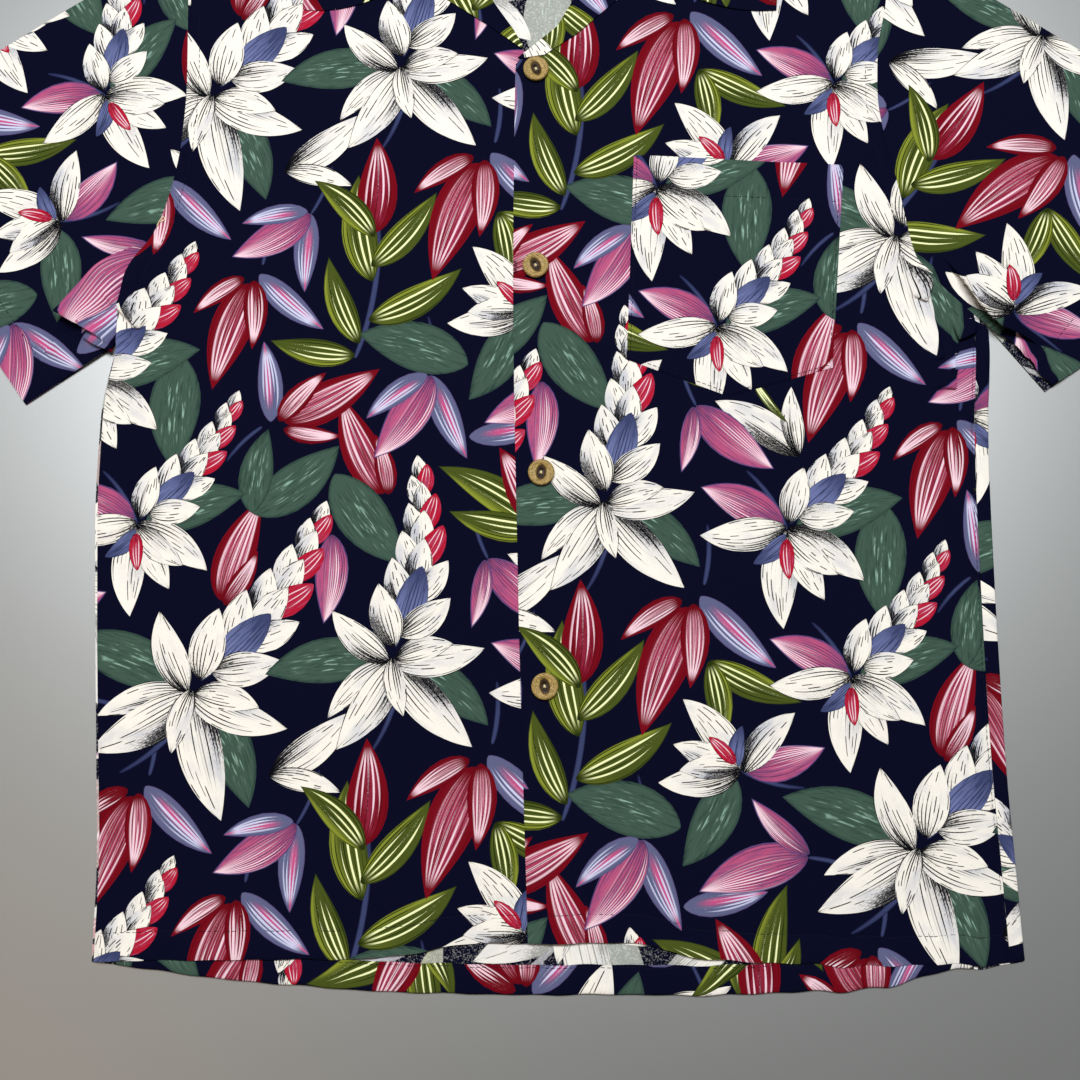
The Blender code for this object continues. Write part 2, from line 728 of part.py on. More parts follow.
def main():
    clear_scene()
    shirt = bpy.data.collections.new("camp_collar_shirt")
    cutters = bpy.data.collections.new("cutters")
    for collection in (shirt, cutters):
        bpy.context.scene.collection.children.link(collection)

    make_back(shirt)
    make_front("front_right", shirt, 1, right_front_x, upper_level)
    make_front("front_left", shirt, 2, left_front_x, left_front_level)
    make_lapel("lapel_right", shirt, RIGHT_LAPEL, RIGHT_NOTCH, upper_level)
    make_lapel("lapel_left", shirt, LEFT_LAPEL, LEFT_NOTCH, left_front_level)
    make_sleeve("sleeve_right", shirt, RIGHT_EDGE, RIGHT_UNDERARM_Y, RIGHT_SLEEVE_HEM, -1)
    make_sleeve("sleeve_left", shirt, LEFT_EDGE, LEFT_UNDERARM_Y, LEFT_SLEEVE_HEM, 1)
    make_collar(shirt)
    make_pocket(shirt)
    make_buttons(shirt, cutters)


main()
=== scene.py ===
"""The looks of a short-sleeved camp collar shirt, laid flat with its front up.

Left and right are the wearer's. The tables are in millimetres on the surface under the shirt, with x from the
row of buttons and y from a line across the waist, and at() turns them into metres in the frame.

Each piece of cloth is first laid out flat. The flowers and leaves of its print are closed outlines there, and
one triangulation takes the piece's edge and every outline. Then the flat points go to their places on the
shirt, round folds where the cloth turns. What a face shows is told to the shader by attributes.
"""

import math
from functools import partialmethod

import bpy
import bmesh
import numpy as np
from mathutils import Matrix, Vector, kdtree
from mathutils.geometry import delaunay_2d_cdt


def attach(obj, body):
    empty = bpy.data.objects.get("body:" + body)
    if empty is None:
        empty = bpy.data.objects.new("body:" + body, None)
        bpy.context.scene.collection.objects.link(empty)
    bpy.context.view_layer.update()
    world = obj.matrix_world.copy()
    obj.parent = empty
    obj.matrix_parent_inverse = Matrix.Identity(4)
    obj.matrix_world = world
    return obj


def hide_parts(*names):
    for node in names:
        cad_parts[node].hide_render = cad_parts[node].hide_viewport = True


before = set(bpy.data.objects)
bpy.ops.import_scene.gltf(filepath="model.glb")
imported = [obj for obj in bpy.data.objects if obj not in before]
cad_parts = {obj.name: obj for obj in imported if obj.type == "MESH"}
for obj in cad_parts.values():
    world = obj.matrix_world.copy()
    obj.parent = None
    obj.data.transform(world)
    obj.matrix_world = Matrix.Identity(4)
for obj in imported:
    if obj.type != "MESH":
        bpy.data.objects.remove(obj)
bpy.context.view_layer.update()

MM = 0.001
ORIGIN_X = 1.5
ORIGIN_Y = 104.6

# Cloth: layers lie as the solids do, one wall and one gap apart, and each shell is thinner than its wall.
WALL = 1.0
LAYER = 1.3
CLOTH = 0.55

# Outline of the laid shirt
SHOULDER_X = 224.0
SHOULDER_Y = 389.0
NECK_X = 88.0
NECK_Y = 450.0
NECK_DROP = 20.0
CORNER_Y = -246.0

# The right side and armhole, from the hem up: y, x
RIGHT_EDGE = [
    (CORNER_Y, -258.5), (-198, -258), (-129, -261), (-39, -265.5), (30, -268), (75, -267), (119, -259.5),
    (145, -254), (177, -245), (211, -232), (252, -224), (290, -222), (343, -223), (389, -224),
]
RIGHT_UNDERARM_Y = 119.0

# The left side and armhole, from the hem up: y, x
LEFT_EDGE = [
    (CORNER_Y, 279.5), (-198, 277), (-129, 273.6), (-39, 272), (30, 271.5), (75, 272.3), (129.5, 275),
    (145, 261), (160, 246), (178, 232), (203, 226.5), (222, 223), (252, 216), (283, 212), (311, 213),
    (343, 219), (389, 224),
]
LEFT_UNDERARM_Y = 129.5
SIDE_SEAM_IN = 8.5
RIGHT_PEEK = 1.5

# Hems, from the right side to the left: x, y
FRONT_HEM = [
    (-259, CORNER_Y), (-196, -244.5), (-126, -244.5), (-80, -242), (-33, -235.5), (53, -235.5), (89, -243),
    (142, -247), (237, -248), (280, CORNER_Y),
]
BACK_HEM = [
    (-259, CORNER_Y), (-203, -253), (-145, -259), (-38, -264), (94, -264.5), (199, -260), (225, -253.5),
    (280, CORNER_Y),
]
BACK_HEM_TURN_UP = 16.7
TURN_UP_FROM_X = -246.0
TURN_UP_TO_X = 250.0
CORNER_FROM, CORNER_TO, CORNER_REACH = -259, 280, 30
# Small waves of the hems: length, height. Their share of that height grows between two values of x
HEM_WAVES = [(27, 0.45), (41, 0.35), (93, 0.5)]
WAVES_GROW = (60, 200)
WAVES_RIGHT = 0.5
WAVES_LEFT_MORE = 0.9
FRONT_HEM_STITCH = 16.0
SLEEVE_HEM_STITCH = 22.0
ARMHOLE_STITCH = 7.5

# The fronts' inner edges, from the hem up: y, right front x, left front x
INNER_EDGES = [
    (-235, 19, -7), (-30, 16, -13), (170, 13.5, -16.5), (295, 12.5, -15.5), (303, 2, -15), (308, -6, -8.5),
    (314.4, -12.9, -1), (328, -20.8, 13.4), (343, -31.2, 21.6), (386, -54.5, 45.4), (420, -71, 66),
    (450, -88, 88),
]
LAP_TO_X = 20.0
LAP_FADE = 15.0
LAP_TOP_Y = 313.0
LAP_TOP_FADE = 18.0

# Lapels, from the top button up: roll x, roll y, edge x, edge y, then the notch's corner
LEFT_LAPEL = [
    (-14, 306.4, -12.4, 305.4), (-6.5, 312.5, 3, 307.8), (11, 328, 22, 321), (19.5, 343, 41, 338.3),
    (31.5, 364.5, 55, 350.5), (43, 385.2, 64, 357.5),
]
LEFT_NOTCH = (55.5, 370)
RIGHT_LAPEL = [
    (-10.5, 314.4, -12.2, 313.2), (-16.5, 325.5, -31, 327), (-28.6, 343, -55, 343),
    (-40.5, 364.5, -68, 352.5), (-52, 385.2, -74, 357.5),
]
RIGHT_NOTCH = (-64.5, 370)

# Collar sections, from the left front end round to the middle of the back: where the neck seam is, the roll's
# x and y, the outer edge's x and y, the angle round the fold at the side of the neck, how far the leaf bows
# down, and how much further out the same point is on the right
COLLAR = [
    ("front", 387.5, 43.4, 387, 149.5, 338.5, 0, 15, 9), ("front", 400, 47.5, 399.5, 150.5, 360, 0, 9, 8),
    ("front", 415, 54, 415, 149, 384, 0, 4, 6), ("front", 431, 61.5, 433, 145, 405, 0, 1, 4),
    ("front", 444, 69.5, 451, 137, 423, 0, 0, 2), ("side", 451, 78.5, 470.5, 138.5, 429, 45, 0, 0),
    ("side", 451, 78.5, 470.5, 138.5, 429, 90, 0, 0), ("side", 451, 78.5, 470.5, 138.5, 429, 135, 0, 0),
    ("back", 84, 72, 468.5, 130, 423, 180, 0, 0), ("back", 60, 51, 463.5, 92, 411.5, 180, 0, 0),
    ("back", 30, 26, 460, 46, 405, 180, 0, 0), ("back", 0, 0, 459, 0, 403, 180, 0, 0),
]
COLLAR_FOLD_RADIUS = 2.6
COLLAR_OUTWARD = (0.41, 0.91)
LEAF_EDGE_MIDDLE_Y = 403.0
LEAF_EDGE_RISE = 26.0
LEAF_EDGE_X = 138.5
NECK_LIFT_FADE = 44.0
NECK_LIFT_SIDE_FADE = 48.0
NECK_LIFT_MARGIN = 3.0

# Sleeve hems, from the top edge to the underarm: x, y
RIGHT_SLEEVE_HEM = [(-432, 252), (-372.5, 167.5), (-313, 83.2)]
LEFT_SLEEVE_HEM = [(435, 250), (394, 191), (355, 136), (330.3, 106.4), (308, 91.3)]
UNDERARM_CLEARANCE = 2.0

# The low folds by the underarms that the solids have too: x, y, direction in degrees, length, width, height
FOLDS = [
    (-266, 160, 52, 62, 15, 3.4), (-279, 130, -32, 40, 12, 2.2), (-240, 140, -58, 44, 12, 1.4),
    (266, 163, -50, 50, 13, 2.8), (287, 134, -42, 36, 12, 2), (245, 147, -62, 42, 11, 1.8),
]

# Pocket corners: x, y
POCKET_TOP_RIGHT = (58.5, 242)
POCKET_TOP_LEFT = (189, 235.5)
POCKET_BASE_RIGHT = (53, 111)
POCKET_TIP = (114.6, 88)
POCKET_BASE_LEFT = (178.6, 106)
POCKET_HEM = 24.0
POCKET_STITCH = 2.0

# Buttons, from the top down: x, y
BUTTONS = [(-2.5, 298), (-2.7, 170), (0.7, 40.5), (2.8, -88)]
BUTTON_RADIUS = 8.0
BUTTON_THICK = 3.0


def at(points):
    """Plan positions and heights in millimetres, as metres in the frame."""
    return (np.asarray(points, float) - (ORIGIN_X, ORIGIN_Y, 0.0)) * MM


def ease(low, high, value):
    """0 below low, 1 above high, and a smooth rise between."""
    t = np.clip((value - low) / (high - low), 0.0, 1.0)
    return t * t * (3 - 2 * t)


def mix(a, b, t):
    return a + (b - a) * t


def smooth(table, value, column=1):
    """The table's column at values of its first one, by a curve that never swings past its rows."""
    keys = np.array([row[0] for row in table], float)
    data = np.array([row[column] for row in table], float)
    rise = np.diff(data) / np.diff(keys)
    before, after = rise[:-1], rise[1:]
    same_way = before * after > 0
    total = np.where(same_way, before + after, 1.0)
    inner = np.where(same_way, 2 * before * after / total, 0.0)
    slope = np.concatenate([rise[:1], inner, rise[-1:]])
    value = np.asarray(value, float)
    i = np.clip(np.searchsorted(keys, value) - 1, 0, len(keys) - 2)
    step = keys[i + 1] - keys[i]
    t = np.clip((value - keys[i]) / step, 0.0, 1.0)
    return (
        (2 * t**3 - 3 * t**2 + 1) * data[i]
        + (t**3 - 2 * t**2 + t) * step * slope[i]
        + (3 * t**2 - 2 * t**3) * data[i + 1]
        + (t**3 - t**2) * step * slope[i + 1]
    )


def hem_y(table, x):
    """The y of a hem, with its small waves, which are larger on the left."""
    turn = 2 * math.pi * np.asarray(x)
    waves = sum(height * np.sin(turn / length + length) for length, height in HEM_WAVES)
    right_end = ease(CORNER_FROM, CORNER_FROM + CORNER_REACH, x)
    left_end = 1 - ease(CORNER_TO - CORNER_REACH, CORNER_TO, x)
    share = WAVES_RIGHT + WAVES_LEFT_MORE * ease(*WAVES_GROW, x)
    return smooth(table, x) + waves * (right_end * left_end) * share


def even_line(points, step):
    """The same line with points about a step apart, its corners kept."""
    made = [points[0]]
    for a, b in zip(points, points[1:]):
        count = max(1, round(math.dist(a, b) / step))
        for k in range(1, count + 1):
            made.append((mix(a[0], b[0], k / count), mix(a[1], b[1], k / count)))
    return made


def beside(points, distance):
    """The line moved to its left by a distance."""
    line = np.array(points, float)
    run = np.gradient(line, axis=0)
    run /= np.linalg.norm(run, axis=1)[:, None]
    return [tuple(p) for p in line + np.column_stack([-run[:, 1], run[:, 0]]) * distance]


# Guards against a division by nothing, and how many points are measured at a time
TINY = 1e-9
TINY_SQUARE = 1e-12
AT_A_TIME = 2000


def distance_to(x, y, line):
    """How far each point is from a line."""
    ends = np.array(line, float)
    starts, runs = ends[:-1], np.diff(ends, axis=0)
    squares = np.maximum((runs**2).sum(1), TINY_SQUARE)
    points = np.column_stack([x, y])
    made = np.empty(len(points))
    for first in range(0, len(points), AT_A_TIME):
        some = slice(first, first + AT_A_TIME)
        offsets = points[some, None, :] - starts[None]
        share = np.clip((offsets * runs).sum(2) / squares, 0, 1)
        made[some] = np.linalg.norm(offsets - share[..., None] * runs, axis=2).min(1)
    return made


# How high the cloth lies

# Creases that stand up, mostly by the underarms: from x, y to x, y, then how far the cloth falls away on the
# left of that way and on the right of it, and the height. A low negative height is a soft trough.
CREASES = [
    (-300, 150, -262, 196, 14, 5, 1.2), (-276, 150, -262, 120, 4, 11, 2), (-246, 156, -272, 128, 9, 7, -1),
    (-300, 128, -272, 139, 7, 3, 1.6), (-262, 112, -243, 160, 6, 4, 1), (-330, 168, -296, 150, 8, 8, 0.9),
    (-318, 118, -290, 124, 5, 5, 0.8), (-232, 182, -205, 200, 7, 5, 0.7), (262, 172, 296, 150, 14, 5, 1.8),
    (272, 140, 283, 126, 5, 3, 2), (238, 176, 256, 158, 6, 4, 1.6), (236, 148, 262, 132, 5, 4, 1.2),
    (290, 172, 330, 128, 12, 9, 1.1), (246, 128, 252, 92, 7, 6, 0.8), (258, 190, 278, 178, 6, 4, 1.2),
    (-208, 236, -186, 221, 5, 4, 0.8), (12, 118, 20, -40, 7, 5, 1.3), (34, 96, 44, -30, 8, 6, -1),
    (62, 70, 66, -70, 9, 7, 1.1), (-34, 60, -28, -90, 8, 8, 1.1), (-64, 20, -70, -150, 10, 8, -0.9),
    (92, 30, 88, -150, 10, 9, 0.9), (-28, 236, -60, 196, 6, 7, 0.7), (-118, 96, -92, 48, 7, 6, 0.7),
    (-176, -60, -150, -118, 8, 6, 0.8), (148, -52, 132, -124, 6, 8, 0.8), (176, 40, 196, -12, 7, 8, 0.7),
    (30, -150, 44, -214, 7, 7, 0.8), (-150, -170, -142, -244, 10, 9, 0.8),
    (120, -190, 126, -246, 9, 11, 0.8), (206, -196, 200, -246, 12, 9, 0.9),
    (-216, -196, -222, -246, 9, 12, 0.8), (-238, 60, -228, -60, 12, 8, 0.8), (238, 40, 246, -90, 9, 12, 0.8),
    (-372, 296, -340, 226, 10, 9, 0.8), (352, 292, 318, 218, 10, 12, 0.8), (-120, 330, -60, 306, 12, 9, 0.5),
    (74, 312, 150, 322, 9, 12, 0.5), (-316, 122, -304, 98, 4, 3, 1.2), (-306, 126, -293, 104, 3, 4, -0.9),
    (-300, 128, -286, 108, 4, 3, 1.1), (-326, 122, -314, 94, 5, 4, -0.8), (269, 74, 272, 132, 9, 16, 3.2),
    (-262, 82, -263, 126, 16, 9, 1.6), (236, 120, 244, 84, 5, 6, 1), (-226, 132, -200, 96, 6, 8, 0.7),
    (-196, 168, -150, 140, 7, 9, 0.5), (206, 196, 160, 250, 8, 7, 0.5),
]

# Flaps by the underarms, where the cloth is bunched up well above the solids: the lower and the upper end of
# the flap's free edge, how far the flap reaches to the right of that way, its height, and whether its lower
# end is free too. It stands up along what is free, with a dark hollow at its foot, and dies out elsewhere.
FLAPS = [
    (-284, 139.6, -243, 189, 34, 8.5, True), (-262, 117, -283, 126, 12, 2.6, True),
    (-246, 131, -263, 150, 10, 2, True), (-302, 116, -290, 126, 9, 1.6, True),
    (306, 114, 248, 176, 30, 9.5, False), (257, 126, 272, 133, -12, 3.6, True),
    (236, 150, 243, 172, -11, 3.2, True), (252, 94, 251, 138, -16, 2.4, True),
    (244, 112, 240, 150, -9, 1.8, True),
]
FLAP_STEEP = 1.6
FLAP_LEAN = 1.15
# Shares of a flap's length or reach over which it rises or dies out
FLAP_BEGINS = (0, 0.4)
FLAP_FADES = (0.4, 1.1)
FLAP_FALLS_FROM = 0.2
# A flap of this height or more has the full hollow
FULL_HOLLOW = 4
TOE_SOFT = 3.0
FLAP_ROW_START = -2.0
FLAP_ROW_STEP = 1.8
FLAP_ROWS = (-3.4, -2.2, -1.3, -0.5, 0.3, 1.1, 2, 3.4)
HOLLOW_DEPTH = 1.3
HOLLOW_WIDTH = 3.2
TOE_WIDTH = 6.0
LOWEST = 1.2

# Slow rises and falls of the whole cloth: length of the wave, its direction in degrees, height, phase
RIPPLES = [
    (310, 8, 0.22, 0.4), (187, 101, 0.2, 1.9), (121, 37, 0.18, 3.1), (83, 152, 0.15, 5), (57, 74, 0.11, 0.9),
    (39, 18, 0.06, 2.2),
]


def fold_height(x, y):
    """How far the folds that the solids have too raise the upper layers."""
    total = np.zeros_like(x)
    for fold_x, fold_y, direction, length, width, height in FOLDS:
        turn = math.radians(direction)
        run = (x - fold_x) * math.cos(turn) + (y - fold_y) * math.sin(turn)
        off = -(x - fold_x) * math.sin(turn) + (y - fold_y) * math.cos(turn)
        total += height * np.exp(-((2 * run / length) ** 2) * 2 - ((2 * off / width) ** 2))
    return total


# Shares of a crease's length over which it rises and dies out
CREASE_RISES = (-0.12, 0.38)
CREASE_FADES = (0.62, 1.12)


def crease_height(x, y):
    """The creases of the upper layers, sharper on one side, and fading out at both ends."""
    total = np.zeros_like(x)
    for x1, y1, x2, y2, left, right, height in CREASES:
        length = math.hypot(x2 - x1, y2 - y1)
        run = ((x - x1) * (x2 - x1) + (y - y1) * (y2 - y1)) / length
        off = (-(x - x1) * (y2 - y1) + (y - y1) * (x2 - x1)) / length
        fall = np.where(off > 0, left, right)
        ends = ease(*CREASE_RISES, run / length) * (1 - ease(*CREASE_FADES, run / length))
        total += height * np.exp(-((off / fall) ** 2)) * ends
    return total


def flap_frame(x1, y1, x2, y2, reach):
    """The length of a flap's free edge, and its unit directions up that edge and in from it."""
    length = math.hypot(x2 - x1, y2 - y1)
    up = np.array([x2 - x1, y2 - y1]) / length
    return length, up, np.array([up[1], -up[0]]) * math.copysign(1.0, reach)


def flap_relief(x, y):
    """How far the flaps raise the upper layers, with a hollow at each foot, and how far they lean over it."""
    height, lean = np.zeros_like(x), np.zeros((len(x), 2))
    for x1, y1, x2, y2, reach, top, free_end in FLAPS:
        length, up, inward = flap_frame(x1, y1, x2, y2, reach)
        run = (x - x1) * up[0] + (y - y1) * up[1]
        off = (x - x1) * inward[0] + (y - y1) * inward[1]
        begins = (-FLAP_STEEP, FLAP_STEEP) if free_end else np.multiply(FLAP_BEGINS, length)
        fade = (1 - ease(*FLAP_FADES, run / length)) * ease(*begins, run)
        fall = 1 - ease(FLAP_FALLS_FROM * abs(reach), abs(reach), off)
        rise = top * ease(-FLAP_STEEP, FLAP_STEEP, off) * fade
        foot = np.exp(-(((off + 2 * FLAP_STEEP) / HOLLOW_WIDTH) ** 2)) * fade
        toe = np.exp(-(((run + 2 * FLAP_STEEP) / TOE_WIDTH) ** 2)) * free_end
        toe = toe * ease(-TOE_SOFT, TOE_SOFT, off) * fall
        hollow = HOLLOW_DEPTH * min(1.0, top / FULL_HOLLOW)
        height += rise * fall - hollow * np.maximum(foot, toe)
        out = rise * (1 - ease(0.0, abs(reach), off)) * FLAP_LEAN
        down = (1 - ease(0.0, length / 2, run)) * free_end
        lean -= np.outer(out, inward) + np.outer(out * down, up)
    return height, lean


def flap_rows():
    """Lines along the free edges and the lower ends of the flaps."""
    rows = []
    for flap in FLAPS:
        length, up, inward = flap_frame(*flap[:5])
        for step in FLAP_ROWS:
            for start, way, far in ((inward, up, length), (up, inward, abs(flap[4]))):
                first = np.array(flap[:2]) + start * step
                steps = np.arange(FLAP_ROW_START, far, FLAP_ROW_STEP)
                rows.append([tuple(first + way * s) for s in steps])
    return rows


def ripple_height(x, y):
    total = np.zeros_like(x)
    for length, direction, height, phase in RIPPLES:
        turn = math.radians(direction)
        total += height * np.sin(2 * math.pi * (x * math.cos(turn) + y * math.sin(turn)) / length + phase)
    return total


def back_level(x, y):
    """Height of the right side of the back, which faces down and rises over the collar's leaf under it."""
    edge = LEAF_EDGE_MIDDLE_Y + LEAF_EDGE_RISE * (x / LEAF_EDGE_X) ** 2
    up = ease(edge - NECK_LIFT_MARGIN - NECK_LIFT_FADE, edge - NECK_LIFT_MARGIN, y)
    side = LEAF_EDGE_X + NECK_LIFT_MARGIN
    return LAYER * up * (1 - ease(side, side + NECK_LIFT_SIDE_FADE, np.abs(x)))


def hem_lift(x, y):
    """The rise of the fronts over the back's turned-up hem."""
    top = hem_y(BACK_HEM, x) + BACK_HEM_TURN_UP
    down = 1 - ease(top + 1, top + LAP_FADE, y)
    from_right = ease(TURN_UP_FROM_X - LAP_FADE, TURN_UP_FROM_X, x)
    return LAYER * down * from_right * (1 - ease(TURN_UP_TO_X, TURN_UP_TO_X + LAP_FADE, x))


def lap_lift(x, y):
    """The rise of the left front over the right front's edge."""
    across = 1 - ease(LAP_TO_X, LAP_TO_X + LAP_FADE, x)
    return LAYER * across * (1 - ease(LAP_TOP_Y, LAP_TOP_Y + LAP_TOP_FADE, y))


def clear_of_back(x, y, z):
    """The height of an upper layer, kept above the layer under it."""
    return np.maximum(z, back_level(x, y) + LOWEST)


def upper_level(x, y):
    """Height of the upper face of the sleeves and the right front."""
    relief = fold_height(x, y) + crease_height(x, y) + flap_relief(x, y)[0] + ripple_height(x, y)
    return clear_of_back(x, y, back_level(x, y) + WALL + LAYER + hem_lift(x, y) + relief)


def left_front_level(x, y):
    return upper_level(x, y) + lap_lift(x, y)


def sunk(x, y, z, edges, stitched=()):
    """The height z where the cloth goes down to its seams and edges, given as lines with a width and a depth,
    and into the troughs of its rows of stitches."""
    for line, (width, depth) in edges:
        z = z - depth * (1 - ease(0.0, width, distance_to(x, y, line)))
    for line in stitched:
        z = z - STITCH_DEPTH * np.exp(-((distance_to(x, y, line) / STITCH_TROUGH) ** 2))
    return z


# The print

# Kinds of blade, the shape that every flower and leaf is made of: name, how blunt its base is, and its tip
KINDS = [
    ("white", 0.74, 0.98), ("red", 0.66, 1.05), ("mauve", 0.70, 1.00), ("lilac", 0.66, 0.92),
    ("olive", 0.76, 1.08), ("teal", 0.74, 0.98), ("slate", 0.20, 0.30), ("band", 0.45, 0.75),
    ("scarlet", 0.55, 0.75),
]
KIND_NUMBERS = {row[0]: number for number, row in enumerate(KINDS, start=1)}

# Each motif is a list of blades, the lowest first: kind, base x, base y, heading in degrees, length, half
# width, bend in degrees
LILY = [
    ("slate", 6, -4, 250, 62, 1.8, -34), ("teal", -6, 4, 158, 76, 15, 22), ("teal", 8, -4, 318, 70, 14, -26),
    ("white", 0, 0, 190, 56, 8.5, 28), ("white", 4, 0, 228, 71, 12.5, -20),
    ("white", 2, 0, 286, 78, 13.5, 16), ("white", 0, 0, 134, 52, 10, -28), ("white", 0, 0, 336, 64, 11, 26),
    ("white", 2, 2, 254, 40, 7.5, 18), ("white", 4, 0, 8, 40, 8.5, -24),
]
ORCHID = [
    ("slate", 0, 0, 196, 46, 1.7, 30), ("mauve", -2, -2, 232, 58, 12, 20), ("teal", 2, 6, 118, 72, 15, -24),
    ("white", 0, 0, 342, 64, 12, 26), ("white", 0, 0, 66, 59, 11.5, -24), ("white", 0, 2, 16, 50, 10, 14),
    ("white", -2, 0, 286, 56, 11, -24), ("band", 4, 2, 318, 30, 6, -26), ("white", 2, 0, 38, 42, 9, 20),
    ("scarlet", 6, 0, 352, 26, 5, 16),
]
BUDS = [
    ("slate", -8, -12, 254, 34, 1.5, 24), ("lilac", -6, -6, 128, 56, 8.5, 16),
    ("red", 0, 0, 62, 74, 13.5, 14), ("red", -2, -2, 96, 46, 8, -18), ("red", 4, -4, 22, 40, 6.5, 22),
]
STEM_LEAVES = [
    ("slate", 0, 0, 74, 110, 2.0, 30), ("olive", 2, 10, 128, 62, 9, -26), ("olive", 6, 26, 20, 70, 10.5, 30),
    ("olive", 6, 52, 118, 74, 11.5, -30), ("olive", 4, 62, 44, 66, 10, 22), ("red", 2, 84, 84, 66, 13, 18),
    ("olive", 4, 82, 128, 56, 9, 26), ("olive", 0, 2, 186, 56, 9, -22),
]
OLIVE_SPRAY = [
    ("olive", 0, 0, 84, 84, 12, 22), ("olive", 2, 0, 38, 78, 11, -26), ("red", 0, 2, 60, 62, 12.5, 8),
    ("olive", 0, 0, 128, 66, 10, -26), ("olive", -2, 0, 356, 52, 8, 24), ("olive", 0, 0, 244, 40, 3.4, 18),
]
LILAC_FAN = [
    ("lilac", 0, 0, 76, 56, 8.5, 12), ("mauve", 0, 0, 34, 62, 12, -18), ("lilac", 2, -2, 356, 46, 7, 20),
    ("slate", 0, 0, 232, 38, 1.4, 22),
]
MAUVE_PAIR = [
    ("mauve", 0, 0, 118, 64, 12.5, 20), ("mauve", 2, 0, 76, 44, 6.5, -18),
    ("slate", 0, 0, 286, 34, 1.4, -20),
]
TEAL_PAIR = [
    ("teal", 0, 0, 34, 78, 16, 20), ("teal", 0, 0, 96, 62, 12, -20), ("slate", 0, 0, 236, 30, 1.6, 16),
]

# The spike: small bracts in threes up a bent stem, the outer ones over the inner ones
SPIKE_STEPS = 15
SPIKE_LENGTH = 124.0
SPIKE_BEND = 34.0
SPIKE_BRACTS = "wwbwwwwswwswwsws"
SPIKE_KINDS = {"w": "white", "s": "scarlet", "b": "band"}
SPIKE_STEM = 0.9
SPIKE_STEM_HALF = 2.2
SPIKE_TOP = 0.86
# At the spike's base and top: how far a bract turns out, its length, its half width as a share of that
BRACT_TURNS = (44, 20)
BRACT_LENGTHS = (42, 19)
BRACT_HALVES = (0.25, 0.28)
BRACT_BENDS = {1: -12, -1: 20, 0: 4}


def stem_point(share, length, bend):
    """Where a bent stem that leaves along +y is at a share of its length, and its heading in degrees."""
    turn = math.radians(bend)
    radius = length / turn
    angle = turn * share
    return radius * (math.cos(angle) - 1), radius * math.sin(angle), 90 + math.degrees(angle)


def spike():
    blades = [("slate", 0, 0, 90, SPIKE_LENGTH * SPIKE_STEM, SPIKE_STEM_HALF, SPIKE_BEND * SPIKE_STEM)]
    for k in reversed(range(SPIKE_STEPS)):
        share = k / (SPIKE_STEPS - 1)
        x, y, heading = stem_point(share * SPIKE_TOP, SPIKE_LENGTH, SPIKE_BEND)
        side = (1, -1, 0)[k % 3]
        heading += side * mix(*BRACT_TURNS, share)
        kind = SPIKE_KINDS[SPIKE_BRACTS[k % len(SPIKE_BRACTS)]]
        length = mix(*BRACT_LENGTHS, share)
        blades.append((kind, x, y, heading, length, length * mix(*BRACT_HALVES, share), BRACT_BENDS[side]))
    return blades


def turned_blade(blade, x, y, turn, size):
    """A motif's blade where the motif is placed, in the same form, turned and sized."""
    kind, base_x, base_y, heading, length, half, bend = blade
    angle = math.radians(turn)
    return (
        kind,
        x + size * (base_x * math.cos(angle) - base_y * math.sin(angle)),
        y + size * (base_x * math.sin(angle) + base_y * math.cos(angle)),
        heading + turn,
        length * size,
        half * size,
        bend,
    )


MOTIFS = {
    "teal leaf": [("teal", 0, 0, 90, 70, 15.5, 16)],
    "mauve leaf": [("mauve", 0, 0, 90, 54, 10, -18)],
    "lilac leaf": [("lilac", 0, 0, 90, 50, 7.5, 14)],
    "bud": [("red", 0, 0, 90, 66, 12, -16), ("red", 2, -2, 62, 38, 6.5, 18)],
    "white leaf": [("white", 0, 0, 90, 62, 10.5, 24), ("white", 0, 0, 62, 44, 7, -22)],
    "olive twig": [("olive", 0, 0, 90, 60, 9, 20), ("olive", 0, 0, 54, 50, 8, -24)],
    "buds": BUDS,
    "stem leaves": STEM_LEAVES,
    "olive spray": OLIVE_SPRAY,
    "lilac fan": LILAC_FAN,
    "mauve pair": MAUVE_PAIR,
    "teal pair": TEAL_PAIR,
    "orchid": ORCHID,
    "nosegay": ORCHID + [turned_blade(blade, -4, 2, 34, 0.9) for blade in spike()],
    "bouquet": LILY + [turned_blade(blade, 6, 8, -42, 1.05) for blade in spike()],
}

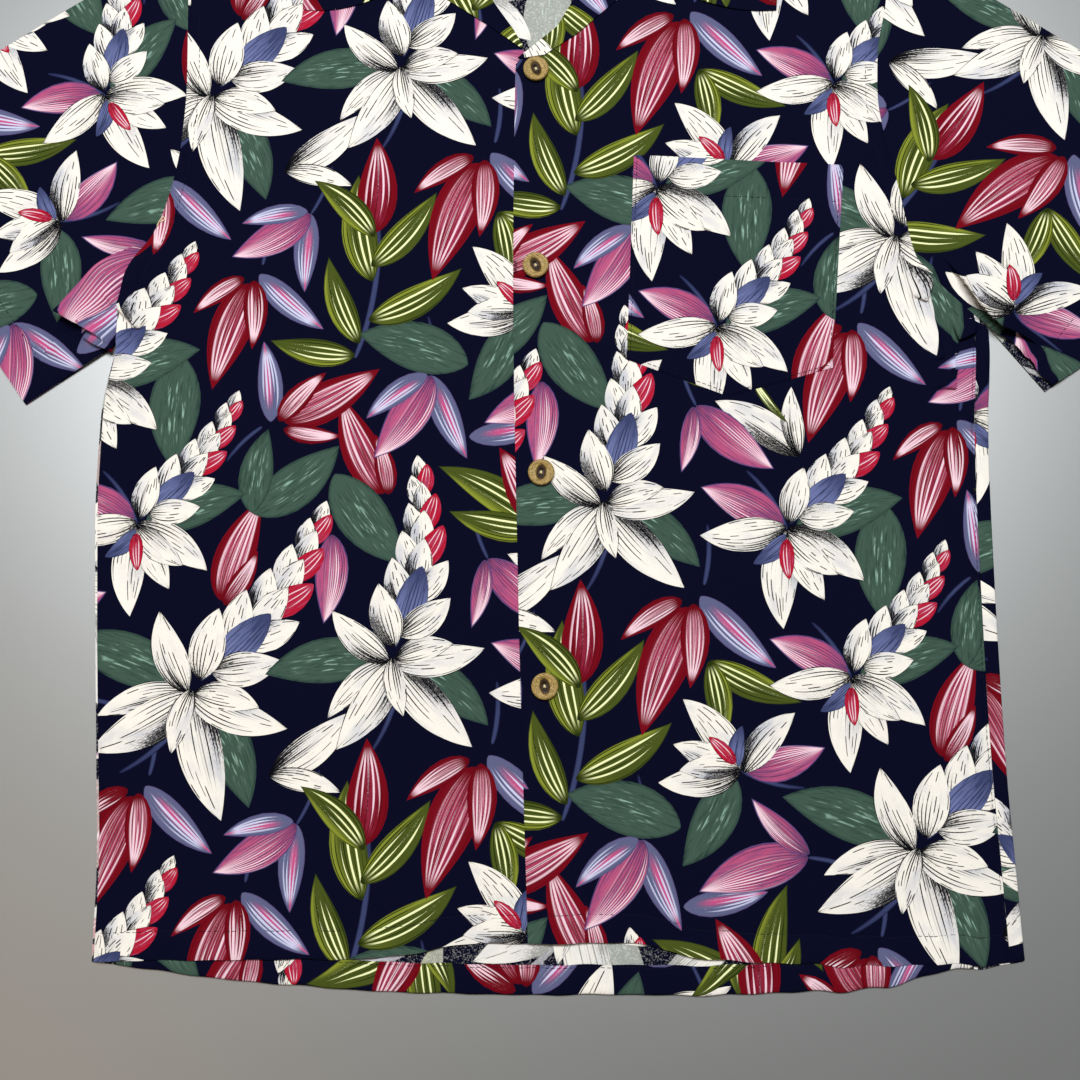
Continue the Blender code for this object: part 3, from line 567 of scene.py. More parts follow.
# The repeat as printed, and its half drop. The motifs in it, the lowest first: name, x, y, turn, size
REPEAT_WIDTH = 300.0
REPEAT_HEIGHT = 372.0
DROP = 0.5
LAYOUT = [
    ("teal leaf", 286, 270, 66, 1), ("lilac leaf", 287, 225, 273, 1), ("white leaf", 61, 305, 44, 1),
    ("bud", 236, 190, 32, 1), ("mauve leaf", 205, 165, 185, 1), ("olive twig", 4, 181, 236, 1),
    ("teal leaf", 112, 275, 169, 1), ("bud", 140, 125, 348, 1), ("white leaf", 171, 22, 296, 1),
    ("teal leaf", 206, 202, 210, 1), ("teal pair", 157, 178, 355, 0.85),
    ("stem leaves", 217, 274, 355, 0.95), ("olive spray", 33, 354, 54, 0.9),
    ("mauve pair", 60, 67, 69, 1.05), ("mauve pair", 299, 150, 192, 0.95), ("lilac fan", 264, 263, 211, 1),
    ("lilac fan", 188, 366, 185, 0.9), ("buds", 293, 27, 180, 1.1), ("buds", 93, 10, 180, 1),
    ("buds", 152, 321, 183, 0.95), ("buds", 174, 235, 320, 0.9), ("orchid", 22, 117, 134, 0.85),
    ("nosegay", 52, 260, 272, 0.95), ("nosegay", 88, 171, 273, 0.88), ("bouquet", 122, 71, 351, 1),
    ("bouquet", 241, 89, 19, 0.9),
]
REPEAT = [
    turned_blade(blade, x, y, turn, size) for name, x, y, turn, size in LAYOUT for blade in MOTIFS[name]
]
REPEAT.sort(key=lambda blade: blade[0] != "slate")


def blade_frame(blade):
    """The centre and radius of the arc that a blade's midrib follows, and the direction of its base."""
    kind, x, y, heading, length, half, bend = blade
    bend = bend if abs(bend) > 2 else 2
    radius = length / math.radians(bend)
    left = math.radians(heading + 90)
    centre = (x + radius * math.cos(left), y + radius * math.sin(left))
    return centre, radius, left + math.pi


def blade_widths(kind, t):
    """Half width along a blade, as a share of its widest."""
    low, high = KINDS[KIND_NUMBERS[kind] - 1][1:]
    peak = low / (low + high)
    return (t / peak) ** low * ((1 - t) / (1 - peak)) ** high


OUTLINE_STEP = 4.5
LEAST_STEPS = 7
# How uneven the edge of a white petal is, and how it differs along and between petals
UNEVEN = 0.05
UNEVEN_ALONG = 9
UNEVEN_BETWEEN = 2.4


def blade_outline(blade, number):
    """Points round a blade, with a slightly uneven edge."""
    kind, length, half = blade[0], blade[4], blade[5]
    centre, radius, base = blade_frame(blade)
    count = max(LEAST_STEPS, round(length / OUTLINE_STEP))
    t = (1 - np.cos(np.linspace(0, math.pi, count + 1))) / 2
    uneven = UNEVEN * np.sin(UNEVEN_ALONG * t + number * UNEVEN_BETWEEN) * (kind == "white")
    wide = half * blade_widths(kind, t)
    points = []
    for side, shares in ((-1, range(count)), (1, range(count, 0, -1))):
        for k in shares:
            angle = base + t[k] * length / radius
            away = radius - side * wide[k] * (1 + side * uneven[k])
            points.append((centre[0] + away * math.cos(angle), centre[1] + away * math.sin(angle)))
    return points


def blade_places(blade, x, y):
    """How far along a blade points are, as a share, and how far to the left of its midrib."""
    centre, radius, base = blade_frame(blade)
    away_x, away_y = (x - centre[0]) * np.sign(radius), (y - centre[1]) * np.sign(radius)
    angle = np.arctan2(away_y, away_x) - base
    angle = (angle + math.pi) % (2 * math.pi) - math.pi
    off = radius - np.sign(radius) * np.hypot(away_x, away_y)
    return angle * radius / blade[4], off


# Laying the cloth out flat

GRID_STEP = 5.5
FOLD_ROWS = flap_rows()
FINE_STEP = 2.1
FINE_REACH = 40.0
ROW_SHARE = 0.87
KEEP_OFF = 0.9
GRID_KEEP_OFF = 1.44
SAME_POINT = 0.05
# What delaunay_2d_cdt gives back, the triangles inside outlines, and how near it joins points
INSIDE_OUTLINES = 1
JOIN_WITHIN = 1e-4
CELLS = range(-5, 6)
UNDERARMS = [(-262, 146), (264, 150)]


def inside(x, y, ring):
    """Which points lie inside a closed outline."""
    ends = np.array(ring, float)
    made = np.zeros(len(x), bool)
    for (x1, y1), (x2, y2) in zip(ends, np.roll(ends, -1, axis=0)):
        crosses = (y1 > y) != (y2 > y)
        if crosses.any():
            made ^= crosses & (x < x1 + (x2 - x1) * (y - y1) / ((y2 - y1) or TINY))
    return made


def grid_points(low, high, step):
    """Points in staggered rows over a box."""
    rows = []
    for k, y in enumerate(np.arange(low[1], high[1], step * ROW_SHARE)):
        xs = np.arange(low[0] + (k % 2) * step / 2, high[0], step)
        rows.append(np.column_stack([xs, np.full(len(xs), y)]))
    return np.concatenate(rows)


def thinned(points, fixed, distance):
    """The points that are further than a distance from every fixed one."""
    tree = kdtree.KDTree(len(fixed))
    for k, (x, y) in enumerate(fixed):
        tree.insert((x, y, 0), k)
    tree.balance()
    return [p for p in points if tree.find((p[0], p[1], 0))[2] > distance]


def printed_blades(low, high, bolt):
    """The print's blades over a box, for a piece that is cut from the bolt at x, y and a turn in degrees."""
    shift_x, shift_y, turn = bolt
    found = []
    for number, blade in enumerate(REPEAT):
        for i in CELLS:
            for j in CELLS:
                x = i * REPEAT_WIDTH
                y = (j + DROP * (i % 2)) * REPEAT_HEIGHT
                moved = (blade[0], blade[1] + x, blade[2] + y, *blade[3:])
                placed = turned_blade(moved, shift_x, shift_y, turn, 1.0)
                reach = placed[4] + placed[5]
                if all(a - reach < p < b + reach for a, p, b in zip(low, placed[1:3], high)):
                    found.append((placed, number))
    return found


def by_underarm(points):
    """Which points are by an underarm, where the cloth is bunched up."""
    return np.min([np.hypot(*(points - place).T) for place in UNDERARMS], axis=0) < FINE_REACH


def lay_out(outline, bolt, rows=(), turns=()):
    """A flat piece of printed cloth: its points, its triangles, the blade that each shows, and the blades. No
    triangle crosses one of the turns, the lines along which the cloth bends sharply."""
    low, high = np.min(outline, axis=0), np.max(outline, axis=0)
    rings, blades = [list(outline)], []
    for blade, number in printed_blades(low, high, bolt):
        ring = blade_outline(blade, number)
        if (np.max(ring, axis=0) > low).all() and (np.min(ring, axis=0) < high).all():
            rings.append(ring)
            blades.append((blade, number))
    fixed = [p for ring in rings for p in ring]
    free = [p for row in (*rows, *FOLD_ROWS) for p in row]
    fine, coarse = grid_points(low, high, FINE_STEP), grid_points(low, high, GRID_STEP)
    grid = np.concatenate([fine[by_underarm(fine)], coarse[~by_underarm(coarse)]])
    free = thinned(free, fixed + [p for line in turns for p in line], KEEP_OFF)
    grid = thinned(grid, fixed + free, GRID_KEEP_OFF)
    free = np.array(free + [tuple(p) for p in grid], float)
    free = free[inside(free[:, 0], free[:, 1], outline)]

    points, faces = [], []
    for ring in rings:
        faces.append(list(range(len(points), len(points) + len(ring))))
        points.extend(ring)
    points.extend(free)
    edges = []
    for line in turns:
        edges.extend((k, k + 1) for k in range(len(points), len(points) + len(line) - 1))
        points.extend(line)
    made = delaunay_2d_cdt([Vector(p) for p in points], edges, faces, INSIDE_OUTLINES, JOIN_WITHIN)
    flat = np.array([(v.x, v.y) for v in made[0]])
    kept = [(face, max(inputs) - 1) for face, inputs in zip(made[2], made[5]) if 0 in inputs]
    used, packed = np.unique([face for face, shown in kept], return_inverse=True)
    shown = np.array([shown for face, shown in kept])
    return flat[used], packed.reshape(-1, 3), shown, blades


def turn_outline(turns):
    """Joins lines end to end as one closed outline, without repeated points."""
    made = []
    for line in turns:
        for point in line:
            if not made or math.dist(point, made[-1]) > SAME_POINT:
                made.append((float(point[0]), float(point[1])))
    while math.dist(made[0], made[-1]) <= SAME_POINT:
        made.pop()
    return made


def add_blade_attributes(mesh, flat, triangles, shown, blades):
    """What each corner shows, for the shader: how far along its blade it is, how far off the midrib and the
    blade's length; its half width, kind and number; and how blunt the base and the tip are."""
    corners = flat[triangles]
    place = np.zeros((len(triangles), 3, 3))
    kind = np.zeros((len(triangles), 3, 3))
    shape = np.full((len(triangles), 3, 3), 0.5)
    place[..., 0] = 0.5
    place[..., 2] = 1.0
    kind[..., 0] = 1.0
    for k in np.unique(shown[shown >= 0]):
        mine = shown == k
        blade, number = blades[k]
        t, off = blade_places(blade, corners[mine][..., 0], corners[mine][..., 1])
        place[mine] = np.stack([t, off, np.full_like(t, blade[4])], axis=-1)
        kind[mine] = (blade[5], KIND_NUMBERS[blade[0]], number)
        shape[mine] = (*KINDS[KIND_NUMBERS[blade[0]] - 1][1:], 0.0)
    for name, data in (("blade_place", place), ("blade_kind", kind), ("blade_shape", shape)):
        attribute = mesh.attributes.new(name, "FLOAT_VECTOR", "CORNER")
        attribute.data.foreach_set("vector", data.astype(np.float32).ravel())


# Where each piece is cut from the bolt: x, y and turn of the repeat on it
BOLTS = {
    "back": (-103, 90, 0),
    "front_right": (-30, 24, 0),
    "front_left": (96, 118, 0),
    "sleeve_right": (-250, 90, 34),
    "sleeve_left": (210, 60, -34),
    "pocket": (20, -40, 0),
    "collar": (20, 40, 90),
    "lapel_right": (60, 210, 12),
    "lapel_left": (-40, 170, -14),
}


SHARP_DEGREES = 60
CUT_STEP_DEGREES = 2


def add_piece(name, data, finishes=(), node=None):
    """Adds a mesh or a curve as a piece of the shirt, in place of the node that is named, if any."""
    for finish in finishes:
        data.materials.append(finish)
    piece = bpy.data.objects.new(name, data)
    bpy.context.scene.collection.objects.link(piece)
    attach(piece, "root")
    if node:
        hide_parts(node)
    return piece


def make_cloth(node, outline, place, finishes, rows=(), turns=(), flip=False, thickness=CLOTH, middle=False):
    """A printed piece, laid out flat, put in place and given its thickness behind its right side."""
    flat, triangles, shown, blades = lay_out(outline, BOLTS[node], rows, turns)
    name = f"cloth_{node}"
    mesh = bpy.data.meshes.new(name)
    mesh.from_pydata(at(place(*flat.T)).tolist(), [], triangles.tolist())
    add_blade_attributes(mesh, flat, triangles, shown, blades)
    if flip:
        mesh.flip_normals()
    for finish in finishes:
        mesh.materials.append(finish)
    thin = bpy.data.objects.new(name, mesh)
    bpy.context.scene.collection.objects.link(thin)
    shell = thin.modifiers.new("cloth", "SOLIDIFY")
    shell.thickness = thickness * MM
    shell.offset = 0.0 if middle else -1.0
    shell.material_offset = len(finishes) - 1
    bpy.context.view_layer.update()
    solid = bpy.data.meshes.new_from_object(thin.evaluated_get(bpy.context.evaluated_depsgraph_get()))
    bpy.data.objects.remove(thin)
    bpy.data.meshes.remove(mesh)
    solid.name = name
    solid.shade_smooth()
    solid.set_sharp_from_angle(angle=math.radians(SHARP_DEGREES))
    piece = add_piece(name, solid, node=node)
    area = round(triangle_area(flat, triangles) * MM * MM, 6)
    cut_size(flat)


def cut_size(flat):
    """The width and length in metres of the smallest rectangle that a flat piece is cut from."""
    sizes = []
    for degrees in range(0, 90, CUT_STEP_DEGREES):
        turn = math.radians(degrees)
        turned = flat @ np.array([[math.cos(turn), -math.sin(turn)], [math.sin(turn), math.cos(turn)]])
        sizes.append(np.ptp(turned, axis=0) * MM)
    width, length = min(sizes, key=np.prod).tolist()
    return round(width, 4), round(length, 4)


def triangle_area(flat, triangles):
    a, b, c = (flat[triangles[:, k]] for k in range(3))
    return float(np.abs(np.cross(b - a, c - a)).sum() / 2)


# Stitches

STITCH_PITCH = 2.9
STITCH_LENGTH = 2.6
STITCH_WIDTH = 0.42
STITCH_RISE = 0.16
STITCH_LIFT = 0.4
# How far apart the points are that tell which way the cloth faces at a stitch
FEEL = 0.2
# Along a stitch, from end to end: share of its length from the middle, share of its width
STITCH_RINGS = [(-0.42, 0.75), (0.0, 1.0), (0.42, 0.75)]


def close_rings(made, rings, first, last):
    """Faces between rings of vertices, and from the two end rings to a vertex beyond each."""
    count = len(rings[0])
    for k in range(count):
        after = (k + 1) % count
        made.faces.new((first, rings[0][k], rings[0][after]))
        made.faces.new((last, rings[-1][after], rings[-1][k]))
        for one, two in zip(rings, rings[1:]):
            made.faces.new((one[k], two[k], two[after], one[after]))


def smooth_mesh(name, made):
    """The mesh of a closed form, its faces turned outward and smooth."""
    bmesh.ops.recalc_face_normals(made, faces=made.faces)
    mesh = bpy.data.meshes.new(name)
    made.to_mesh(mesh)
    made.free()
    mesh.shade_smooth()
    return mesh


def make_stitches(node, lines, place, finish, flip=False):
    """Rows of machine stitches on a piece, along lines that are given on its flat layout."""
    made = bmesh.new()
    for line in lines:
        marks = np.array(even_line(line, STITCH_PITCH), float)
        middles = (marks[:-1] + marks[1:]) / 2
        runs = marks[1:] - marks[:-1]
        runs /= np.maximum(np.linalg.norm(runs, axis=1), TINY)[:, None]
        sides = np.column_stack([-runs[:, 1], runs[:, 0]])
        centre = place(*middles.T)
        along = place(*(middles + runs * FEEL).T) - centre
        across = place(*(middles + sides * FEEL).T) - centre
        along /= np.linalg.norm(along, axis=1)[:, None]
        up = np.cross(along, across) * (-1 if flip else 1)
        up /= np.linalg.norm(up, axis=1)[:, None]
        across = np.cross(up, along)
        for c, a, s, n in zip(centre + up * STITCH_RISE * STITCH_LIFT, along, across, up):
            corners = (s * STITCH_WIDTH / 2, n * STITCH_RISE, -s * STITCH_WIDTH / 2, -n * STITCH_RISE)
            rings = [
                [made.verts.new(at(c + a * share * STITCH_LENGTH + corner * wide)) for corner in corners]
                for share, wide in STITCH_RINGS
            ]
            half = a * STITCH_LENGTH / 2
            close_rings(made, rings, *(made.verts.new(at(end)) for end in (c - half, c + half)))
    name = f"stitches_{node}"
    add_piece(name, smooth_mesh(name, made), [finish])


# The shader

def colour(red, green, blue):
    """A colour given as it shows on a screen, from 0 to 255, as the shader takes it."""
    parts = [c / 255 for c in (red, green, blue)]
    return (*[c / 12.92 if c <= 0.04045 else ((c + 0.055) / 1.055) ** 2.4 for c in parts], 1.0)


def connect(tree, value, slot):
    if isinstance(value, Number):
        tree.links.new(value.socket, slot)
    elif isinstance(value, bpy.types.NodeSocket):
        tree.links.new(value, slot)
    else:
        slot.default_value = value


def add_node(tree, kind, inputs, **settings):
    """A shader node with its settings, each of its inputs connected or set."""
    made = tree.nodes.new("ShaderNode" + kind)
    for name, value in settings.items():
        setattr(made, name, value)
    for name, value in inputs.items():
        connect(tree, value, made.inputs[name])
    return made


class Number:
    """A number that a shader works out. Sums and products of these add math nodes."""

    def __init__(self, tree, socket):
        self.tree = tree
        self.socket = socket

    def run(self, operation, *others):
        inputs = dict(enumerate((self, *others)))
        return Number(self.tree, add_node(self.tree, "Math", inputs, operation=operation).outputs[0])

    __add__ = partialmethod(run, "ADD")
    __sub__ = partialmethod(run, "SUBTRACT")
    __mul__ = partialmethod(run, "MULTIPLY")
    __truediv__ = partialmethod(run, "DIVIDE")
    __pow__ = partialmethod(run, "POWER")
    __abs__ = partialmethod(run, "ABSOLUTE")

    def rest(self):
        """One less this."""
        return self * -1.0 + 1.0

    def rise(self, low, high):
        """0 below low, 1 above high, and a smooth rise between."""
        inputs = {"Value": self, "From Min": low, "From Max": high}
        made = add_node(self.tree, "MapRange", inputs, interpolation_type="SMOOTHSTEP")
        return Number(self.tree, made.outputs[0])


def noise(tree, vector, scale, detail):
    made = add_node(tree, "TexNoise", {"Scale": scale, "Detail": detail, "Vector": vector})
    return Number(tree, made.outputs["Fac"])


def join(tree, x, y, z):
    return add_node(tree, "CombineXYZ", {"X": x, "Y": y, "Z": z}).outputs[0]


def split(tree, vector, kind="XYZ"):
    return [Number(tree, socket) for socket in add_node(tree, "Separate" + kind, {0: vector}).outputs]


def attribute(tree, name):
    """The three numbers of an attribute."""
    return split(tree, add_node(tree, "Attribute", {}, attribute_name=name).outputs["Vector"])


def paint(tree, shown, *coats):
    """A colour with others over it, each by a share."""
    for coat, share in coats:
        inputs = {"Factor": share, "A": shown, "B": coat}
        shown = add_node(tree, "Mix", inputs, data_type="RGBA").outputs["Result"]
    return shown


NAVY = colour(5, 6, 26)
NAVY_WORN = colour(10, 11, 34)
INK = colour(6, 6, 12)
CREAM = colour(224, 217, 206)
SHADOW = colour(160, 163, 178)
RED = colour(104, 7, 20)
DARK_RED = colour(78, 4, 13)
PINK = colour(158, 56, 84)
BLUSH = colour(220, 188, 197)
MAUVE = colour(166, 74, 110)
PLUM = colour(76, 58, 104)
LILAC = colour(84, 86, 116)
MAGENTA = colour(178, 72, 116)
MIST = colour(192, 192, 216)
OLIVE = colour(64, 73, 25)
DARK_OLIVE = colour(32, 40, 10)
LIME = colour(138, 146, 50)
STRAW = colour(222, 224, 170)
TEAL = colour(58, 78, 67)
DARK_TEAL = colour(30, 48, 44)
SAGE = colour(128, 158, 142)
SLATE = colour(52, 58, 92)
DARK_SLATE = colour(24, 28, 56)
BAND = colour(98, 105, 146)
SCARLET = colour(160, 20, 42)
FADED = colour(216, 213, 206)
LINE_SOFT = 0.14
DASH_SHIFT = 9.0


class Blade:
    """What the shader knows of the blade at a point: t, how far along it is; off, how far from the midrib;
    wide, the half width there; v, off as a share of that; and edge, how far in from the outline it is."""

    def __init__(self, tree):
        self.tree = tree
        t, self.off, self.length = attribute(tree, "blade_place")
        half, self.kind, number = attribute(tree, "blade_kind")
        low, high = attribute(tree, "blade_shape")[:2]
        self.t = t.run("MAXIMUM", 0.001).run("MINIMUM", 0.999)
        peak = low / (low + high)
        self.wide = half * ((self.t / peak) ** low) * ((self.t.rest() / peak.rest()) ** high)
        self.v = (self.off / self.wide).run("MAXIMUM", -1.0).run("MINIMUM", 1.0)
        self.edge = (self.wide - abs(self.off)).run("MAXIMUM", 0.0)
        self.seed = number * 0.731
        self.wobble = noise(tree, join(tree, self.t * 2.2, self.seed, 0.0), 1.0, 1.0) - 0.5

    def grain(self, along, across, detail, shift=0.0):
        """Noise that is stretched along the blade."""
        place = join(self.tree, self.t * self.length * along, self.off * across, self.seed + shift)
        return noise(self.tree, place, 1.0, detail)

    def toss(self, dimensions, **inputs):
        """The outputs of a random number, which is the same for the same inputs."""
        return add_node(self.tree, "TexWhiteNoise", inputs, noise_dimensions=dimensions).outputs

    def lanes(self, count, wander, shift):
        """How far a point is from the middle of its lane along the blade, and the lane's random outputs."""
        lane = self.v * (count / 2) + self.wobble * wander + 0.5
        cell = lane.run("FLOOR")
        off = abs(lane - cell - 0.5) * self.wide * (2.0 / count)
        seed = (self.seed + shift) * 1.7 + count
        return off, self.toss("2D", Vector=join(self.tree, cell + 0.37, seed, 0.0))

    def hatch(self, count, thick, reach, from_tip=False, wander=0.12, shift=0.0):
        """Thin lines, each of its own length and thickness, from the base or from the tip."""
        off, random = self.lanes(count, wander, shift)
        luck = Number(self.tree, random["Value"])
        left = luck * (reach[1] - reach[0]) + reach[0] - (self.t.rest() if from_tip else self.t)
        half = (luck * 0.6 + 0.7) * left.rise(0.0, 0.3) * (thick / 2)
        return (half - off).rise(-LINE_SOFT / 2, LINE_SOFT / 2) * left.rise(0.0, 0.04)

    def dashes(self, count, thick):
        """Short lines, here and there."""
        off, random = self.lanes(count, 0.0, DASH_SHIFT)
        place, long, stout = split(self.tree, random["Color"], "Color")
        past = abs(self.t - (place * 0.62 + 0.22))
        half = (stout * 0.6 + 0.7) * (thick / 2)
        return (half - off).rise(-LINE_SOFT / 2, LINE_SOFT / 2) * (long * 0.08 + 0.05 - past).rise(0.0, 0.03)


def print_colour(tree):
    """The colour of the print at a point of the cloth."""
    blade = Blade(tree)
    t, v, edge, hatch = blade.t, blade.v, blade.edge, blade.hatch
    streaks, strokes = blade.grain(0.09, 0.75, 3.0), blade.grain(0.55, 2.6, 2.0)
    mottle = blade.grain(0.05, 0.12, 3.0, shift=3.0)
    luck = Number(tree, blade.toss("1D", W=blade.seed)["Value"])
    baseward, tipward = t.rise(0.0, 0.42).rest(), t.rise(0.45, 0.95)
    inner = abs(v).rise(0.5, 0.72).rest() * t.rise(0.05, 0.2) * t.rise(0.78, 0.93).rest()
    outline = edge.rise(0.16, 0.42).rest()
    small = blade.length.rise(26.0, 44.0).rest()
    cool = v.rise(-0.3, 0.8) * tipward.rest() * (small * 0.35 + luck.rise(0.25, 0.7) * 0.5)
    deep = luck.rise(0.3, 0.8) * 0.8 + 0.16
    shade = baseward * 0.36 + v.rise(-0.2, 0.95) * t.rise(0.25, 0.85).rest() * deep
    comb = hatch(16, 0.6, (0.25, 0.85), wander=0.1, shift=5.0) * v.rise(-0.1, 0.3) * luck.rise(0.25, 0.4)
    rosy = luck.rise(0.35, 0.65)
    fine_light = hatch(7, 1.15, (0.6, 1.0), from_tip=True) * inner
    fine_dark = hatch(9, 0.55, (0.3, 0.95))
    lit = t.rise(0.15, 0.35) * t.rise(0.6, 0.85).rest() * abs(v).rise(0.3, 0.75).rest()
    painted = {
        "white": [
            CREAM,
            (SHADOW, mottle.rise(0.45, 0.75) * 0.4 + cool),
            (INK, (shade * 0.92 - strokes + 0.12).rise(-0.17, 0.15) * 0.94),
            (INK, hatch(9, 0.55, (0.15, 0.7), wander=0.25)),
            (INK, hatch(5, 0.5, (0.02, 0.2), from_tip=True, wander=0.25)),
            (INK, blade.dashes(9, 0.5)),
            (INK, comb),
            (INK, outline),
        ],
        "red": [
            RED,
            (PINK, inner * (rosy * 0.55 + mottle.rise(0.4, 0.6) * 0.35)),
            (BLUSH, fine_light),
            (BLUSH, hatch(17, 0.5, (0.45, 0.95), wander=0.08, shift=2.0) * inner * rosy * 0.5),
            (DARK_RED, fine_dark * 0.8),
        ],
        "mauve": [
            MAUVE,
            (PLUM, streaks.rise(0.4, 0.7) * 0.5 + baseward * 0.3),
            (BLUSH, hatch(15, 0.6, (0.55, 1.0), from_tip=True, wander=0.08) * v.rise(-0.6, 0.3)),
            (DARK_SLATE, hatch(13, 0.4, (0.3, 0.95), wander=0.08, shift=4.0) * 0.7),
            (PLUM, edge.rise(0.3, 1.2).rest()),
        ],
        "lilac": [
            LILAC,
            (MAGENTA, abs(v - 0.15).rise(0.08, 0.42).rest() * t.rise(0.1, 0.4)),
            (MIST, fine_light * 0.9),
            (PLUM, edge.rise(0.2, 1.0).rest() * 0.7),
        ],
        "olive": [
            OLIVE,
            (LIME, v.rise(0.35, 0.95) * t.rise(0.75, 1.0).rest() * 0.75 + baseward * 0.2),
            (DARK_OLIVE, fine_dark),
            (STRAW, hatch(5, 1.0, (0.5, 0.95), wander=0.16) * inner),
            (DARK_OLIVE, edge.rise(0.2, 0.8).rest() * 0.8),
        ],
        "teal": [
            TEAL,
            (DARK_TEAL, streaks.rise(0.5, 0.75) * 0.6 + edge.rise(0.3, 2.4).rest() * 0.6),
            (SAGE, streaks.rise(0.45, 0.3) * lit),
            (DARK_TEAL, blade.dashes(13, 0.4) * 0.5),
        ],
        "slate": [
            SLATE,
            (DARK_SLATE, edge.rise(0.1, 1.0).rest() + tipward * 0.4),
        ],
        "band": [
            BAND,
            (SLATE, t.rise(0.2, 1.0) + streaks.rise(0.45, 0.7) * 0.5),
            (DARK_SLATE, fine_dark * 0.8),
            (INK, outline * 0.8),
        ],
        "scarlet": [
            SCARLET,
            (PINK, streaks.rise(0.5, 0.62) * 0.7 + inner * 0.15),
            (BLUSH, hatch(5, 0.5, (0.4, 0.95), from_tip=True, wander=0.25) * inner),
            (DARK_RED, baseward * strokes.rise(0.45, 0.6)),
            (INK, outline * 0.8),
        ],
    }
    shown = paint(tree, NAVY, (NAVY_WORN, mottle.rise(0.45, 0.65)))
    for name, coats in painted.items():
        here = blade.kind.run("COMPARE", float(KIND_NUMBERS[name]), 0.5)
        shown = paint(tree, shown, (paint(tree, *coats), here))
    return shown


THREAD_PITCH = 0.36


def new_finish(name, roughness, specular):
    made = bpy.data.materials.new(name)
    made.use_nodes = True
    shader = made.node_tree.nodes["Principled BSDF"]
    shader.inputs["Roughness"].default_value = roughness
    shader.inputs["Specular IOR Level"].default_value = specular
    return made, made.node_tree, shader


def place_on_cloth(tree):
    """The object's own coordinates in millimetres."""
    place = add_node(tree, "TexCoord", {}).outputs["Object"]
    return add_node(tree, "VectorMath", {0: place, "Scale": 1 / MM}, operation="SCALE").outputs[0]


def bump(tree, height, strength, distance, under=None):
    """The normal of a surface with a fine relief, on that of a larger one if any."""
    inputs = {"Height": height, "Strength": strength, "Distance": distance}
    if under:
        inputs["Normal"] = under
    return add_node(tree, "Bump", inputs).outputs["Normal"]


def weave_height(tree, position):
    """The plain weave: threads over and under each other, with slubs."""
    x, y = split(tree, position)[:2]
    turn = math.pi / THREAD_PITCH
    warp = abs((x * turn).run("SINE"))
    weft = abs((y * turn).run("SINE"))
    over = (x * (turn / 2)).run("SINE") * (y * (turn / 2)).run("SINE")
    over = over.rise(-0.4, 0.4)
    return over * warp + over.rest() * weft + noise(tree, position, 0.9, 3.0) * 0.8


def cloth_finish(name, wrong_side=False):
    made, tree, shader = new_finish(name, 0.85, 0.03)
    shown = print_colour(tree)
    position = place_on_cloth(tree)
    if wrong_side:
        specks = noise(tree, position, 1.0, 3.0).rise(0.52, 0.62)
        printed = attribute(tree, "blade_kind")[1].rise(0.2, 0.8)
        shown = paint(tree, shown, (FADED, specks * 0.2 + printed * 0.38))
    connect(tree, shown, shader.inputs["Base Color"])
    soft = bump(tree, noise(tree, position, 0.11, 4.0), 0.5, 0.0007)
    connect(tree, bump(tree, weave_height(tree, position), 0.4, 0.00007, soft), shader.inputs["Normal"])
    return made


def thread_finish(name, shade, lit):
    made, tree, shader = new_finish(name, 0.7, 0.1)
    twist = noise(tree, place_on_cloth(tree), 6.0, 1.0)
    connect(tree, paint(tree, shade, (lit, twist.rise(0.4, 0.8))), shader.inputs["Base Color"])
    connect(tree, bump(tree, twist, 1.0, 0.00005), shader.inputs["Normal"])
    return made


SHELL_LIGHT = colour(166, 138, 80)
SHELL_MID = colour(116, 92, 42)
SHELL_PALE = colour(200, 172, 112)
SHELL_DARK = colour(82, 60, 28)
EYE_DARK = colour(50, 32, 15)
# Painted shade: the colour of the button's holes, near black for the shade inside them
HOLE_PAINTED_SHADE = colour(12, 9, 7)


def shell_finish():
    """Coconut shell: tan, with fine darker grain and flecks, a dark oval eye, and painted shade, near black,
    in its two holes.
    """
    made, tree, shader = new_finish("coconut_shell", 0.5, 0.22)
    position = place_on_cloth(tree)
    stretched = add_node(tree, "Mapping", {"Vector": position, "Scale": (0.35, 2.2, 1.0)}).outputs[0]
    grain, flecks = noise(tree, stretched, 1.6, 4.0), noise(tree, position, 1.5, 3.0)
    depth, hole = attribute(tree, "eye")[:2]
    shown = paint(
        tree,
        SHELL_LIGHT,
        (SHELL_MID, grain.rise(0.4, 0.6)),
        (SHELL_PALE, flecks.rise(0.44, 0.3) * 0.6),
        (SHELL_DARK, flecks.rise(0.54, 0.66) * 0.6),
        (EYE_DARK, depth),
        # painted shade: the holes are coloured near black
        (HOLE_PAINTED_SHADE, hole),
    )
    connect(tree, shown, shader.inputs["Base Color"])
    connect(tree, bump(tree, grain, 0.3, 0.0001), shader.inputs["Normal"])
    return made


# The pieces

LINE_STEP = 3.6
TURN_RADIUS = (WALL + LAYER) / 2
TURN_LENGTH = math.pi * TURN_RADIUS
TURN_STEPS = np.linspace(0, TURN_LENGTH, 5)

# Seams and edges: how wide the cloth goes down to them, and how far
SEAM = (2.6, 0.7)
SIDE_SEAM = (2.6, 0.85)
UNDER_SEAM = (2.6, -0.3)
POCKET_SEAM = (1.8, 0.95)
LAPEL_ROLL = (2.2, 1.25)
EDGE = (1.3, 0.3)
STITCH_DEPTH = 0.28
STITCH_TROUGH = 1.1
STITCH_IN = 1.6
NEAR_EDGE = (0.9, 1.9, 3.0)
NEAR_STITCH = (-1.6, -0.8, 0.0, 0.8, 1.6)
NEAR_ROLL = (0.5, 1.0, 1.6)

